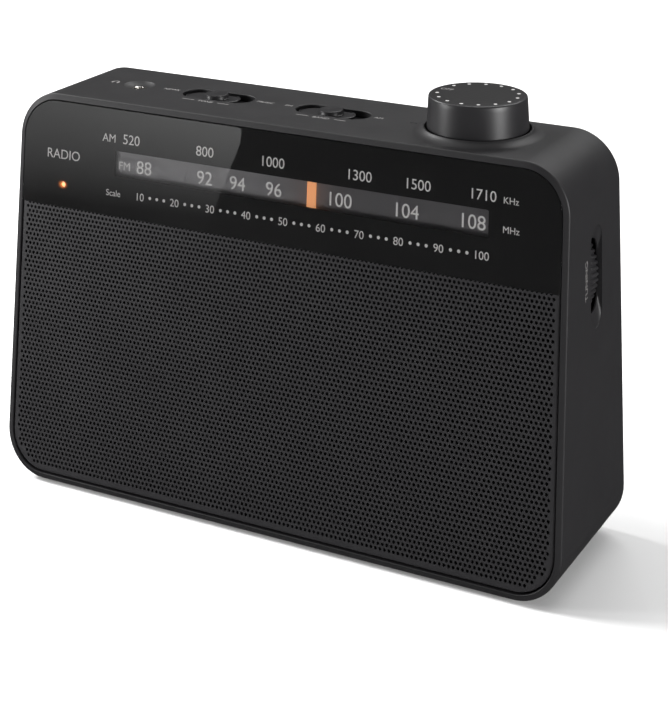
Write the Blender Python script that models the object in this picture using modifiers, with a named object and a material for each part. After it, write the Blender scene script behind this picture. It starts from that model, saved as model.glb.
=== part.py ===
"""Tabletop AM/FM radio with a leaning front, a slide-rule dial and a telescopic aerial.

Frame: metres, +Z up, +Y towards the back. The origin is on the table, under the middle of the radio.
All sizes below are in millimetres times MM.
"""

import math

import bmesh
import bpy
from mathutils import Matrix, Vector

MM = 0.001

# Cabinet: a rounded tube that runs front to back, cut by a leaning front and a leaning rear.
WIDTH = 210.0 * MM
HEIGHT = 133.5 * MM
DEPTH_AT_BASE = 60.6 * MM
FRONT_LEAN = 9.6 * MM  # how far the top of the front stands back
REAR_LEAN = 5.7 * MM  # how far the top of the rear stands forward
CORNER_RADIUS = 15.7 * MM
WALL = 2.1 * MM
RIM_STEP = 0.7 * MM  # how far the rim's chamfer stands forward at its inner edge
REAR_EDGE = 1.6 * MM
ARC_STEPS = 7

# Fits
SEAM = 0.3 * MM  # between neighbours that touch on the real object
RUNNING = 0.3 * MM  # around shafts and sliding pieces

# Feet
FOOT_HEIGHT = 1.2 * MM
FOOT_RADIUS = 6.0 * MM
FOOT_RECESS = 0.6 * MM
FOOT_INSET_X = 26.0 * MM
FOOT_INSET_Y = 11.0 * MM

# Front: lens above, grille below, in one leaning plane
LENS_THICKNESS = 1.2 * MM
LENS_BOTTOM = HEIGHT - 38.8 * MM  # up the slope of the front
GRILLE_THICKNESS = 3.2 * MM
FRAME_THICKNESS = 2.5 * MM
FRAME_OFFSET = GRILLE_THICKNESS + SEAM
SOUND_HOLE_RADIUS = 2.2 * MM
SOUND_HOLE_PITCH = 9.4 * MM
LED_AT = (-WIDTH / 2 + 19.4 * MM, LENS_BOTTOM + 7.8 * MM)
LED_RADIUS = 1.5 * MM

# Dial
STRIP_LEFT, STRIP_RIGHT = -WIDTH / 2 + 41.6 * MM, WIDTH / 2 - 26.6 * MM
STRIP_BOTTOM, STRIP_TOP = LENS_BOTTOM + 13.9 * MM, LENS_BOTTOM + 22.5 * MM
DIAL_MARGIN = 5.0 * MM
DIAL_PLATE_THICKNESS = 0.8 * MM
POINTER_X = STRIP_LEFT + 77.0 * MM
POINTER_WIDTH = 3.2 * MM
POINTER_THICKNESS = 0.6 * MM
ARM_HEIGHT = 2.8 * MM
ARM_DROP = 2.0 * MM  # from the strip's lower edge down to the arm
CARRIAGE_LENGTH = 12.0 * MM

# Loudspeaker
SPEAKER_AT = (-WIDTH / 2 + 43.0 * MM, LENS_BOTTOM / 2)
SPEAKER_RADIUS = 38.5 * MM
CONE_RADIUS = 31.0 * MM
CONE_DEPTH = 13.0 * MM
CONE_WALL = 0.9 * MM
COIL_RADIUS = 10.0 * MM
MAGNET_RADIUS = 22.0 * MM
MAGNET_THICKNESS = 9.0 * MM
SPEAKER_FLANGE = 1.2 * MM
SPEAKER_SCREW_CIRCLE = 36.0 * MM
SPEAKER_SCREW_HEAD = 2.2 * MM

# Controls on the top, all on one line
CONTROL_LINE = DEPTH_AT_BASE - 27.3 * MM  # back from the lower front edge
KNOB_X = WIDTH / 2 - 41.8 * MM
KNOB_RADIUS = 17.0 * MM
KNOB_TOP_RADIUS = 16.5 * MM
KNOB_HEIGHT = 11.0 * MM
KNOB_LIFT = 1.5 * MM  # above the top face
KNOB_WALL = 2.0 * MM
COLLAR_INNER = 17.8 * MM
COLLAR_RADIUS = 20.6 * MM
COLLAR_HEIGHT = 1.9 * MM
SHAFT_RADIUS = 3.0 * MM
BUSHING_WALL = 1.2 * MM
POT_RADIUS = 8.5 * MM
POT_HEIGHT = 9.5 * MM
SLIDER_LINE = {"tone": -WIDTH / 2 + 68.0 * MM, "band": -WIDTH / 2 + 114.0 * MM}
SLOT_LENGTH = 28.0 * MM
SLOT_WIDTH = 11.4 * MM
SLIDER_LENGTH = 21.0 * MM
SLIDER_TRAVEL = 4.6 * MM
SLIDER_RECESS = 0.6 * MM
SLIDER_FLANGE = 1.2 * MM
BUTTON_RADIUS = 4.3 * MM
BUTTON_HEIGHT = 2.0 * MM
BUTTON_OFFSET = 1.5 * MM
SWITCH_SIZE = (15.0 * MM, 6.5 * MM, 4.5 * MM)
STEM = 3.0 * MM
STEM_IN_SWITCH = 2.0 * MM
JACK_X = -WIDTH / 2 + 34.3 * MM
JACK_RIM = 6.0 * MM
JACK_BARREL = 3.6 * MM
JACK_BORE = 1.8 * MM
JACK_BODY = (13.0 * MM, 12.0 * MM, 9.0 * MM)

# Main board, hung under the top
BOARD_TOP = HEIGHT - 15.9 * MM
BOARD_THICKNESS = 1.6 * MM
BOARD_X = (-WIDTH / 2 + 17.0 * MM, WIDTH / 2 - 25.0 * MM)
BOARD_Y = (17.0 * MM, DEPTH_AT_BASE - 13.6 * MM)
BOARD_SCREW_X = (-WIDTH / 2 + 21.0 * MM, (SLIDER_LINE["band"] + KNOB_X) / 2)
BOARD_POST_RADIUS = 3.4 * MM

# Tuning drive, all on axles that run front to back
WHEEL_RADIUS = 22.0 * MM
WHEEL_PROUD = -0.3 * MM
WHEEL_Z = HEIGHT - 40.7 * MM
WHEEL_WIDTH = 8.4 * MM
WHEEL_Y = CONTROL_LINE - 1.2 * MM
WHEEL_RIDGES = 72
RIDGE_DEPTH = 0.55 * MM
AXLE_RADIUS = 2.0 * MM
PINION_TEETH, GEAR_TEETH = 16, 40
GEAR_MODULE = 0.91 * MM
GEAR_WIDTH = 3.8 * MM
PRESSURE_ANGLE = math.radians(25)
BACKLASH = 0.16 * MM
PULLEY_RADIUS = 17.0 * MM  # at the bottom of the groove
PULLEY_FLANGE = 0.9 * MM
PULLEY_WIDTH = 4.4 * MM
CORD_RADIUS = 0.4 * MM
CORD_PLANE = 20.0 * MM
IDLER_X = -WIDTH / 2 + 31.0 * MM
IDLER_RADIUS = 4.0 * MM
IDLER_BORE = 1.5 * MM
WHEEL_SLOT = (24.0 * MM, WHEEL_WIDTH + 2.0 * MM)  # height and width of the opening
WHEEL_SCOOP = (33.0 * MM, 1.3 * MM)  # height and depth of the finger scoop
CAPACITOR = (22.0 * MM, 10.0 * MM)  # side and depth
CAP_SHAFT_RADIUS = 2.2 * MM
BRACKET_WALL = 1.6 * MM

# Battery box for four AA cells in two rows, open at the rear
CELL_RADIUS = 7.25 * MM
CELL_LENGTH = 50.5 * MM
CELL_CLEARANCE = 0.8 * MM
CONTACT_ROOM = 9.0 * MM
BOX_WALL = 1.5 * MM
BOX_LEFT = WIDTH / 2 - 139.0 * MM
BOX_FLOOR = 8.0 * MM
CONTACT_PLATE = 0.5 * MM
SPRING_TURNS = 4
SPRING_WIRE = 0.5 * MM
SPRING_RADII = (5.0 * MM, 2.5 * MM)

# Rear cover and battery door
COVER_THICKNESS = 2.5 * MM
DOOR_PIN_RADIUS = 0.5 * MM
PIN_END = 2.5 * MM
SCREW_RADIUS = 1.4 * MM
SCREW_HEAD = 2.9 * MM
SCREW_LENGTH = 12.0 * MM
POST_RADIUS = 4.2 * MM
POST_RIB = 2.0 * MM  # joins each post to the side wall
POST_OFFSET = 7.0 * MM  # from the corner's centre, each way
INLET_AT = (-WIDTH / 2 + 21.0 * MM, 24.0 * MM)
INLET_SIZE = (15.6 * MM, 9.6 * MM)
INLET_DEPTH = 16.0 * MM
INLET_WALL = 1.8 * MM
INLET_PIN = 1.2 * MM
INLET_PIN_GAP = 8.6 * MM

# Power supply and medium-wave aerial
TRANSFORMER_LOW = (WIDTH / 2 - 117.0 * MM, 18.5 * MM, 46.0 * MM)
TRANSFORMER_SIZE = (41.0 * MM, 22.0 * MM, 34.0 * MM)
COIL_STANDS_OUT = 6.0 * MM
FERRITE_RADIUS = 4.5 * MM
FERRITE_X = (-WIDTH / 2 + 13.0 * MM, -WIDTH / 2 + 113.0 * MM)
FERRITE_AT = (DEPTH_AT_BASE - COVER_THICKNESS - 11.6 * MM, HEIGHT - 29.5 * MM)  # y, z
FERRITE_COIL_X = (FERRITE_X[0] + 22.0 * MM, FERRITE_X[0] + 48.0 * MM)
HOLDER_WALL = 2.0 * MM

# Telescopic aerial, stowed along the top of the rear
AERIAL_AT = (DEPTH_AT_BASE - 3.3 * MM, HEIGHT - 12.0 * MM)  # y, z
AERIAL_PIVOT_X = WIDTH / 2 - 31.0 * MM
AERIAL_RADII = ((3.0, 2.6), (2.3, 1.9), (1.6, 1.2), (0.9, 0.0))  # outer and inner, in MM
AERIAL_LENGTH = 128.0 * MM
AERIAL_ROOM = 0.8 * MM  # around it in its channel
AERIAL_STEP = 1.5 * MM  # each section shows this much past the one around it
AERIAL_NEST = 3.0 * MM  # and starts this much inside it
AERIAL_NECK = 4.2 * MM
TONGUE = 1.6 * MM
EYE_RADIUS = 2.8 * MM
CHEEK_RADIUS = 3.0 * MM
AERIAL_PIN = 1.8 * MM
AERIAL_PIN_LENGTH = 12.5 * MM
BRACKET_SIZE = (9.0 * MM, 6.2 * MM, 7.6 * MM)
BRACKET_GAP = 7.0 * MM  # from the pivot to the bracket

SLOPE = math.hypot(HEIGHT, FRONT_LEAN)  # length of the front, bottom to top
FRONT_ANGLE = math.atan2(FRONT_LEAN, HEIGHT)
REAR_ANGLE = math.atan2(REAR_LEAN, HEIGHT)
INNER_TOP = HEIGHT - WALL
GEAR_DISTANCE = GEAR_MODULE * (PINION_TEETH + GEAR_TEETH) / 2
WHEEL_X = WIDTH / 2 + WHEEL_PROUD - WHEEL_RADIUS
FINE = 1e-5  # merge distance, far below any real size


# ---------------------------------------------------------------- scene and materials


def clear_scene():
    for obj in list(bpy.data.objects):
        bpy.data.objects.remove(obj)


def new_collection(name):
    found = bpy.data.collections.new(name)
    bpy.context.scene.collection.children.link(found)
    return found


def make_material(name, colour, roughness, metallic=0.0):
    material = bpy.data.materials.new(name)
    material.use_nodes = True
    shader = material.node_tree.nodes["Principled BSDF"]
    shader.inputs["Base Color"].default_value = (*colour, 1.0)
    shader.inputs["Roughness"].default_value = roughness
    shader.inputs["Metallic"].default_value = metallic
    return material


clear_scene()
PARTS = new_collection("tabletop_radio")
CUTTERS = new_collection("cutters")
CASE_BLACK = make_material("case_black", (0.03, 0.03, 0.031), 0.5)
LENS_BLACK = make_material("lens_black", (0.012, 0.012, 0.013), 0.08)
KNOB_BLACK = make_material("knob_black", (0.022, 0.022, 0.023), 0.42)
INNER_GREY = make_material("inner_grey", (0.09, 0.09, 0.095), 0.6)
STRIP_GREY = make_material("strip_grey", (0.09, 0.088, 0.092), 0.5)
POINTER_ORANGE = make_material("pointer_orange", (0.86, 0.42, 0.18), 0.45)
STEEL = make_material("steel", (0.6, 0.6, 0.62), 0.3, 1.0)
COPPER = make_material("copper", (0.7, 0.32, 0.18), 0.35, 1.0)
BOARD_GREEN = make_material("board_green", (0.04, 0.16, 0.08), 0.55)
FERRITE = make_material("ferrite", (0.05, 0.045, 0.045), 0.6)
PAPER = make_material("paper", (0.06, 0.055, 0.05), 0.9)
RUBBER = make_material("rubber", (0.02, 0.02, 0.02), 0.85)
CORD_WHITE = make_material("cord_white", (0.6, 0.57, 0.5), 0.8)


# ---------------------------------------------------------------- datums


def front_y(z):
    """Where the front surface is, at a height above the underside."""
    return FRONT_LEAN * z / HEIGHT - RIM_STEP


def rear_y(z):
    return DEPTH_AT_BASE - REAR_LEAN * z / HEIGHT


def make_datum(name, parent, location, tilt):
    datum = bpy.data.objects.new(name, None)
    CUTTERS.objects.link(datum)
    datum.parent = parent
    datum.location = location
    datum.rotation_euler = (tilt, 0.0, 0.0)
    return datum


# Body datum: x across, y back from the lower front edge, z up from the underside.
BODY = make_datum("body_datum", None, (0.0, -(front_y(WALL) + rear_y(REAR_EDGE)) / 2, FOOT_HEIGHT), 0.0)
# Front datum: x across, y up the slope, z outwards, with zero on the surface of the lens and grille.
FRONT = make_datum("front_datum", BODY, (0.0, -RIM_STEP, 0.0), math.pi / 2 - FRONT_ANGLE)
# Rear datum: x across, y up the slope, z inwards, with zero on the rear surface.
REAR = make_datum("rear_datum", BODY, (0.0, DEPTH_AT_BASE, 0.0), math.pi / 2 + REAR_ANGLE)


# ---------------------------------------------------------------- shapes


def add_object(name, mesh, material, datum, location=(0, 0, 0), rotation=(0, 0, 0)):
    """A part if it has a material, or a cutter if it has none."""
    obj = bpy.data.objects.new(name, mesh)
    obj.parent = datum
    obj.location = location
    obj.rotation_euler = rotation
    if material is None:
        CUTTERS.objects.link(obj)
        obj.hide_render = True
        obj.display_type = "WIRE"
    else:
        PARTS.objects.link(obj)
        mesh.materials.clear()
        mesh.materials.append(material)
    return obj


def mesh_of(builder, name):
    mesh = bpy.data.meshes.new(name)
    shape = bmesh.new()
    builder(shape)
    shape.to_mesh(mesh)
    shape.free()
    return mesh


def box(name, low, high, material=None, datum=BODY):
    low, high = Vector(low), Vector(high)
    scale = Matrix.Diagonal((*(high - low), 1.0))
    place = Matrix.Translation((low + high) / 2) @ scale
    mesh = mesh_of(lambda shape: bmesh.ops.create_cube(shape, size=1.0, matrix=place), name)
    return add_object(name, mesh, material, datum)


def rod(name, start, end, radius, material=None, datum=BODY, sides=20, end_radius=None):
    """A cylinder, or a cone, from one point to another."""
    start, end = Vector(start), Vector(end)
    along = end - start
    place = Matrix.Translation((start + end) / 2) @ along.to_track_quat("Z", "Y").to_matrix().to_4x4()

    def build(shape):
        bmesh.ops.create_cone(
            shape, cap_ends=True, segments=sides, radius1=radius,
            radius2=radius if end_radius is None else end_radius, depth=along.length, matrix=place,
        )

    mesh = mesh_of(build, name)
    mesh.shade_smooth()
    mesh.set_sharp_from_angle(angle=math.radians(40))
    return add_object(name, mesh, material, datum)


ALONG_Z = (0.0, 0.0, 0.0)
ALONG_Y = (-math.pi / 2, 0.0, 0.0)
ALONG_X = (0.0, math.pi / 2, 0.0)


def turned(name, profile, location, rotation=ALONG_Z, material=None, datum=BODY, steps=24):
    """A turned shape from (radius, height) points that run down its outer side.

    A profile that starts and ends on the axis makes a solid, any other is closed into a ring.
    """
    mesh = bpy.data.meshes.new(name)
    points = [(radius, 0.0, height) for radius, height in profile]
    edges = [(i, i + 1) for i in range(len(points) - 1)]
    if profile[0][0] > FINE:
        edges.append((len(points) - 1, 0))
    mesh.from_pydata(points, edges, [])
    obj = add_object(name, mesh, material, datum, location, rotation)
    screw = obj.modifiers.new("turn", "SCREW")
    screw.steps = steps
    screw.render_steps = steps
    screw.use_merge_vertices = True
    screw.merge_threshold = FINE
    screw.use_smooth_shade = False
    return obj


def welded_mesh(curve):
    """A curve's solid, with its caps joined on, as a mesh that Booleans can use."""
    guide = bpy.data.objects.new(curve.name, curve)
    CUTTERS.objects.link(guide)
    bpy.context.view_layer.update()
    graph = bpy.context.evaluated_depsgraph_get()
    mesh = bpy.data.meshes.new_from_object(guide.evaluated_get(graph))
    bpy.data.objects.remove(guide)
    shape = bmesh.new()
    shape.from_mesh(mesh)
    bmesh.ops.remove_doubles(shape, verts=shape.verts, dist=FINE)
    bmesh.ops.dissolve_limit(shape, angle_limit=math.radians(0.5), verts=shape.verts, edges=shape.edges)
    bmesh.ops.recalc_face_normals(shape, faces=shape.faces)
    shape.to_mesh(mesh)
    shape.free()
    return mesh


def slab(name, loops, low, high, material=None, datum=BODY, rotation=ALONG_Z, location=(0, 0, 0)):
    """A flat outline in local XY, with any holes as further loops, from local z low to high."""
    curve = bpy.data.curves.new(name, "CURVE")
    curve.dimensions = "2D"
    curve.fill_mode = "BOTH"
    curve.extrude = (high - low) / 2
    for loop in loops:
        spline = curve.splines.new("POLY")
        spline.points.add(len(loop) - 1)
        for point, (x, y) in zip(spline.points, loop):
            point.co = (x, y, 0.0, 1.0)
        spline.use_cyclic_u = True
    mesh = welded_mesh(curve)
    mesh.transform(Matrix.Translation((0, 0, (low + high) / 2)))
    return add_object(name, mesh, material, datum, location, rotation)


def rounded_outline(left, right, bottom, top, radius, steps=ARC_STEPS):
    points = []
    for corner, (x, y) in enumerate(((right, top), (left, top), (left, bottom), (right, bottom))):
        centre_x = x - math.copysign(radius, x - (left + right) / 2)
        centre_y = y - math.copysign(radius, y - (bottom + top) / 2)
        for step in range(steps + 1):
            angle = (corner + step / steps) * math.pi / 2
            points.append((centre_x + radius * math.cos(angle), centre_y + radius * math.sin(angle)))
    return points


def stadium(x, y, length, width, steps=6):
    return rounded_outline(
        x - length / 2, x + length / 2, y - width / 2, y + width / 2, width / 2 - FINE, steps
    )


def circle(x, y, radius, sides=24):
    turns = (2 * math.pi * i / sides for i in range(sides))
    return [(x + radius * math.cos(a), y + radius * math.sin(a)) for a in turns]


def rectangle(left, right, bottom, top):
    return [(left, bottom), (right, bottom), (right, top), (left, top)]


def combine(obj, operation, *others):
    for other in others:
        modifier = obj.modifiers.new(operation.lower(), "BOOLEAN")
        modifier.operation = operation
        modifier.solver = "EXACT"
        modifier.object = other
    return obj


def cut(obj, *cutters):
    return combine(obj, "DIFFERENCE", *cutters)


def join(obj, *pieces):
    return combine(obj, "UNION", *pieces)


def case_outline(inset, slope=1.0):
    """The cabinet's outline moved inwards. slope stretches it onto a leaning plane."""
    points = rounded_outline(
        -WIDTH / 2 + inset, WIDTH / 2 - inset, inset, HEIGHT - inset, CORNER_RADIUS - inset
    )
    return [(x, y * slope) for x, y in points]


# ---------------------------------------------------------------- cabinet


def corner_posts():
    """Where the rear cover's screws go: one point near each corner, as (x, z)."""
    x = WIDTH / 2 - CORNER_RADIUS + POST_OFFSET
    low = CORNER_RADIUS - POST_OFFSET
    under_channel = AERIAL_AT[1] - channel_radius() - POST_RADIUS - SEAM
    return [(-x, low), (-x, under_channel), (x, low), (x, HEIGHT - low)]


def channel_radius():
    """The aerial lies in a channel of this radius, open at its left end so that it can be drawn out."""
    return AERIAL_RADII[0][0] * MM + AERIAL_ROOM


def build_cabinet():
    cabinet = slab("cabinet", [case_outline(0.0)], -DEPTH_AT_BASE, 0.0, CASE_BLACK,
                   rotation=(math.pi / 2, 0, 0))
    shape = bmesh.new()
    shape.from_mesh(cabinet.data)
    middle = -DEPTH_AT_BASE / 2
    for vert in shape.verts:
        lean = FRONT_LEAN * vert.co.y / HEIGHT
        vert.co.z = -lean if vert.co.z > middle else -rear_y(vert.co.y)
    bmesh.ops.recalc_face_normals(shape, faces=shape.faces)
    shape.faces.ensure_lookup_table()
    front = max(shape.faces, key=lambda face: face.normal.z * face.calc_area())
    rear = min(shape.faces, key=lambda face: face.normal.z * face.calc_area())
    bmesh.ops.bevel(
        shape, geom=list(rear.edges), offset=REAR_EDGE, segments=2, profile=0.5, affect="EDGES"
    )
    bmesh.ops.inset_individual(shape, faces=[front], thickness=WALL, depth=RIM_STEP)
    shape.to_mesh(cabinet.data)
    shape.free()

    cavity = slab(
        "cavity", [case_outline(WALL)], -2 * DEPTH_AT_BASE, DEPTH_AT_BASE, rotation=(math.pi / 2, 0, 0)
    )
    cut(cabinet, cavity)

    front_end = front_y(0) + FRAME_OFFSET + FRAME_THICKNESS + FRONT_LEAN + SEAM
    for number, (x, z) in enumerate(corner_posts()):
        rear_end = rear_y(z) - COVER_THICKNESS - 2 * SEAM
        wall_x = math.copysign(WIDTH / 2 - WALL / 2, x)
        rib_low, rib_high = z - POST_RIB / 2, z + POST_RIB / 2
        join(cabinet, box(f"post_rib_{number}", (min(x, wall_x), front_end, rib_low),
                          (max(x, wall_x), rear_end, rib_high)))
        join(cabinet, rod(f"post_{number}", (x, front_end, z), (x, rear_end, z), POST_RADIUS, sides=16))
        up = z / math.cos(REAR_ANGLE)
        cut(cabinet, rod(f"post_hole_{number}", (x, up, 0.0), (x, up, COVER_THICKNESS + SCREW_LENGTH),
                         SCREW_RADIUS + RUNNING,
                         datum=REAR, sides=12))
    for number, x in enumerate(BOARD_SCREW_X):
        low, high = BOARD_TOP + SEAM, INNER_TOP + WALL / 2
        join(cabinet, rod(f"board_post_{number}", (x, CONTROL_LINE, low), (x, CONTROL_LINE, high),
                          BOARD_POST_RADIUS, sides=12))
        cut(cabinet, rod(f"board_post_hole_{number}", (x, CONTROL_LINE, low - MM),
                         (x, CONTROL_LINE, low + 7 * MM),
                         SCREW_RADIUS + RUNNING, sides=8))

    collar = turned(
        "collar",
        [(COLLAR_INNER, COLLAR_HEIGHT), (COLLAR_INNER + 0.8 * MM, COLLAR_HEIGHT), (COLLAR_RADIUS, 0.2 * MM),
         (COLLAR_RADIUS, -WALL / 2), (COLLAR_INNER, -WALL / 2)],
        (KNOB_X, CONTROL_LINE, HEIGHT), steps=28,
    )
    join(cabinet, collar)
    knob_hole = SHAFT_RADIUS + RUNNING + BUSHING_WALL + RUNNING
    cut(cabinet, rod("bushing_hole", (KNOB_X, CONTROL_LINE, INNER_TOP - MM),
                     (KNOB_X, CONTROL_LINE, HEIGHT + MM), knob_hole, sides=16))

    for name, x in SLIDER_LINE.items():
        cut(cabinet, slab(f"{name}_slot", [stadium(x, CONTROL_LINE, SLOT_LENGTH, SLOT_WIDTH)],
                          INNER_TOP - MM, HEIGHT + MM))
    cut(cabinet, rod("jack_hole", (JACK_X, CONTROL_LINE, INNER_TOP - MM),
                     (JACK_X, CONTROL_LINE, HEIGHT + MM),
                     JACK_BARREL + RUNNING, sides=16))
    cut(cabinet, rod("jack_rim", (JACK_X, CONTROL_LINE, HEIGHT - 1.2 * MM),
                     (JACK_X, CONTROL_LINE, HEIGHT + 0.4 * MM),
                     JACK_BARREL + 0.9 * MM, sides=20, end_radius=JACK_RIM + 0.4 * MM))

    height, width = WHEEL_SLOT
    low, high = WHEEL_Z - height / 2, WHEEL_Z + height / 2
    outline = stadium(-WHEEL_Z, WHEEL_Y, height, width, 4)
    cut(cabinet, slab("wheel_slot", [outline], WIDTH / 2 - WALL - MM, WIDTH / 2 + MM, rotation=ALONG_X))
    scoop_height, scoop_depth = WHEEL_SCOOP
    scoop_radius = (scoop_height**2 / 4 + scoop_depth**2) / (2 * scoop_depth)
    scoop_x = WIDTH / 2 + scoop_radius - scoop_depth
    cut(cabinet, rod("wheel_scoop", (scoop_x, WHEEL_Y - width / 2, WHEEL_Z),
                     (scoop_x, WHEEL_Y + width / 2, WHEEL_Z),
                     scoop_radius, sides=180))

    for x in (-WIDTH / 2 + FOOT_INSET_X, WIDTH / 2 - FOOT_INSET_X):
        for y in (FOOT_INSET_Y, DEPTH_AT_BASE - FOOT_INSET_Y):
            cut(cabinet, rod("foot_recess", (x, y, -MM), (x, y, FOOT_RECESS), FOOT_RADIUS + SEAM, sides=16))


def build_feet():
    places = [(side, end) for side in ("left", "right") for end in ("front", "rear")]
    for side, end in places:
        x = -WIDTH / 2 + FOOT_INSET_X if side == "left" else WIDTH / 2 - FOOT_INSET_X
        y = FOOT_INSET_Y if end == "front" else DEPTH_AT_BASE - FOOT_INSET_Y
        rod(f"foot_{side}_{end}", (x, y, -FOOT_HEIGHT), (x, y, FOOT_RECESS - SEAM), FOOT_RADIUS, RUBBER,
            sides=16)


# ---------------------------------------------------------------- front


def front_outline(depth):
    """The front opening's outline at a depth: the cabinet is level inside, so it climbs the slope."""
    climb = depth * math.tan(FRONT_ANGLE)
    return [(x, y + climb) for x, y in case_outline(WALL + SEAM, SLOPE / HEIGHT)]


def split_outline(inset, cut_at, upper):
    """The part of the front outline above or below a straight line across it."""
    whole = front_outline(LENS_THICKNESS / 2)
    edge = WIDTH / 2 - inset
    if upper:
        return [p for p in whole if p[1] > cut_at] + [(-edge, cut_at), (edge, cut_at)]
    return [(edge, cut_at), (-edge, cut_at)] + [p for p in whole if p[1] < cut_at]


def build_front():
    inset = WALL + SEAM
    slab("dial_lens", [split_outline(inset, LENS_BOTTOM, True)], -LENS_THICKNESS, 0.0, LENS_BLACK, FRONT)

    holes = []
    reach = math.ceil(CONE_RADIUS / SOUND_HOLE_PITCH)
    for row in range(-reach, reach + 1):
        y = SPEAKER_AT[1] + row * SOUND_HOLE_PITCH * math.sin(math.pi / 3)
        for column in range(-reach, reach + 1):
            x = SPEAKER_AT[0] + (column + row % 2 / 2) * SOUND_HOLE_PITCH
            if math.dist((x, y), SPEAKER_AT) < CONE_RADIUS:
                holes.append(circle(x, y, SOUND_HOLE_RADIUS, 8))
    grille = split_outline(inset, LENS_BOTTOM - SEAM, False)
    slab("grille", [grille, *holes], -GRILLE_THICKNESS, 0.0, CASE_BLACK, FRONT)

    low = -FRAME_OFFSET - FRAME_THICKNESS
    arm_top = STRIP_BOTTOM - ARM_DROP
    opening = rectangle(STRIP_LEFT, STRIP_RIGHT, arm_top - ARM_HEIGHT - RUNNING, arm_top + RUNNING)
    speaker_hole = circle(*SPEAKER_AT, CONE_RADIUS + 1.5 * MM, 36)
    led_hole = circle(*LED_AT, LED_RADIUS + RUNNING, 10)
    screw_holes = [circle(x, y, SCREW_RADIUS + RUNNING, 8) for x, y in speaker_screws()]
    frame = slab("front_frame", [front_outline(FRAME_OFFSET + FRAME_THICKNESS / 2), opening, speaker_hole,
                                 led_hole, *screw_holes],
                 low, -FRAME_OFFSET, INNER_GREY, FRONT)
    z = idler_z()
    pin_end = CORD_PLANE + PULLEY_WIDTH / 2 + 1.5 * MM
    shoulder = CORD_PLANE - PULLEY_WIDTH / 2 - RUNNING
    root = front_y(z) + FRAME_OFFSET + FRAME_THICKNESS / 2
    join(frame, rod("idler_post", (IDLER_X, root, z), (IDLER_X, shoulder, z), IDLER_BORE + MM, sides=12),
         rod("idler_pin", (IDLER_X, shoulder - MM, z), (IDLER_X, pin_end, z), IDLER_BORE - RUNNING,
             sides=12))

    plate_low = -FRAME_OFFSET + SEAM
    slab("dial_plate",
         [rectangle(STRIP_LEFT - DIAL_MARGIN, STRIP_RIGHT + DIAL_MARGIN, arm_top + 2 * RUNNING,
                    STRIP_TOP + DIAL_MARGIN)],
         plate_low, plate_low + DIAL_PLATE_THICKNESS, STRIP_GREY, FRONT)
    rod("power_led", (*LED_AT, low - 3 * MM), (*LED_AT, -LENS_THICKNESS - SEAM), LED_RADIUS, POINTER_ORANGE,
        FRONT, sides=12)


# ---------------------------------------------------------------- loudspeaker


def speaker_screws():
    x, y = SPEAKER_AT
    reach = SPEAKER_SCREW_CIRCLE
    turns = (math.pi / 4 + i * math.pi / 2 for i in range(4))
    return [(x + reach * math.cos(a), y + reach * math.sin(a)) for a in turns]


def build_speaker():
    """Everything turned here points its profile's top at the listener."""
    x, y = SPEAKER_AT
    face = -FRAME_OFFSET - FRAME_THICKNESS - SEAM
    here = (x, y, face)
    back = -CONE_DEPTH - 5 * MM
    hub = COIL_RADIUS + 2.2 * MM
    wall = 1.0 * MM
    seat = CONE_RADIUS + 1.2 * MM
    basket = turned(
        "speaker_basket",
        [(SPEAKER_RADIUS, 0), (SPEAKER_RADIUS, -SPEAKER_FLANGE), (seat + wall, -SPEAKER_FLANGE),
         (hub + 3 * MM, back - wall), (hub, back - wall), (hub, back), (hub + 3 * MM - wall, back),
         (seat, -MM), (seat, 0)],
        here, material=STEEL, datum=FRONT, steps=28,
    )
    cut(basket, *[rod("basket_hole", (sx, sy, face - 3 * MM), (sx, sy, face + MM), SCREW_RADIUS + RUNNING,
                      datum=FRONT, sides=8)
                  for sx, sy in speaker_screws()])
    turned("speaker_surround",
           [(seat - SEAM, -0.3 * MM), (seat - SEAM, -0.9 * MM), (CONE_RADIUS - 1.9 * MM, -1.2 * MM),
            (CONE_RADIUS - 1.9 * MM, -0.3 * MM), (CONE_RADIUS - 0.6 * MM, 0.4 * MM)],
           here, material=RUBBER, datum=FRONT)
    rim = CONE_RADIUS - 2.3 * MM
    coil_end = back - 5.5 * MM
    dome = 2.5 * MM
    turned(
        "speaker_cone",
        [(0, -CONE_DEPTH + dome), (COIL_RADIUS * 0.6, -CONE_DEPTH + dome * 0.7), (COIL_RADIUS, -CONE_DEPTH),
         (rim - CONE_WALL, -1.6 * MM), (rim, -2.2 * MM), (COIL_RADIUS + CONE_WALL, -CONE_DEPTH - 1.3 * MM),
         (COIL_RADIUS, coil_end), (COIL_RADIUS - CONE_WALL, coil_end),
             (COIL_RADIUS - CONE_WALL, -CONE_DEPTH - 1.2 * MM),
         (0, -CONE_DEPTH + dome - CONE_WALL)],
        here, material=PAPER, datum=FRONT,
    )
    magnet_top = back - wall - SEAM
    pole = COIL_RADIUS - CONE_WALL - 0.5 * MM
    turned(
        "speaker_magnet",
        [(0, magnet_top), (pole, magnet_top), (pole, magnet_top - 6 * MM),
         (COIL_RADIUS + 0.6 * MM, magnet_top - 6 * MM),
         (COIL_RADIUS + 0.6 * MM, magnet_top), (MAGNET_RADIUS, magnet_top),
         (MAGNET_RADIUS, magnet_top - MAGNET_THICKNESS), (0, magnet_top - MAGNET_THICKNESS)],
        here, material=FERRITE, datum=FRONT,
    )
    for number, (sx, sy) in enumerate(speaker_screws(), 1):
        head = face - SPEAKER_FLANGE - SEAM
        screw = rod(f"speaker_screw_{number}", (sx, sy, head - 1.6 * MM), (sx, sy, head),
                    SPEAKER_SCREW_HEAD, STEEL, FRONT, sides=12)
        shank = rod("shank", (sx, sy, head - 0.5 * MM), (sx, sy, -FRAME_OFFSET - 0.5 * MM), SCREW_RADIUS,
                    datum=FRONT, sides=8)
        join(screw, shank)


# ---------------------------------------------------------------- volume


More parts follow.
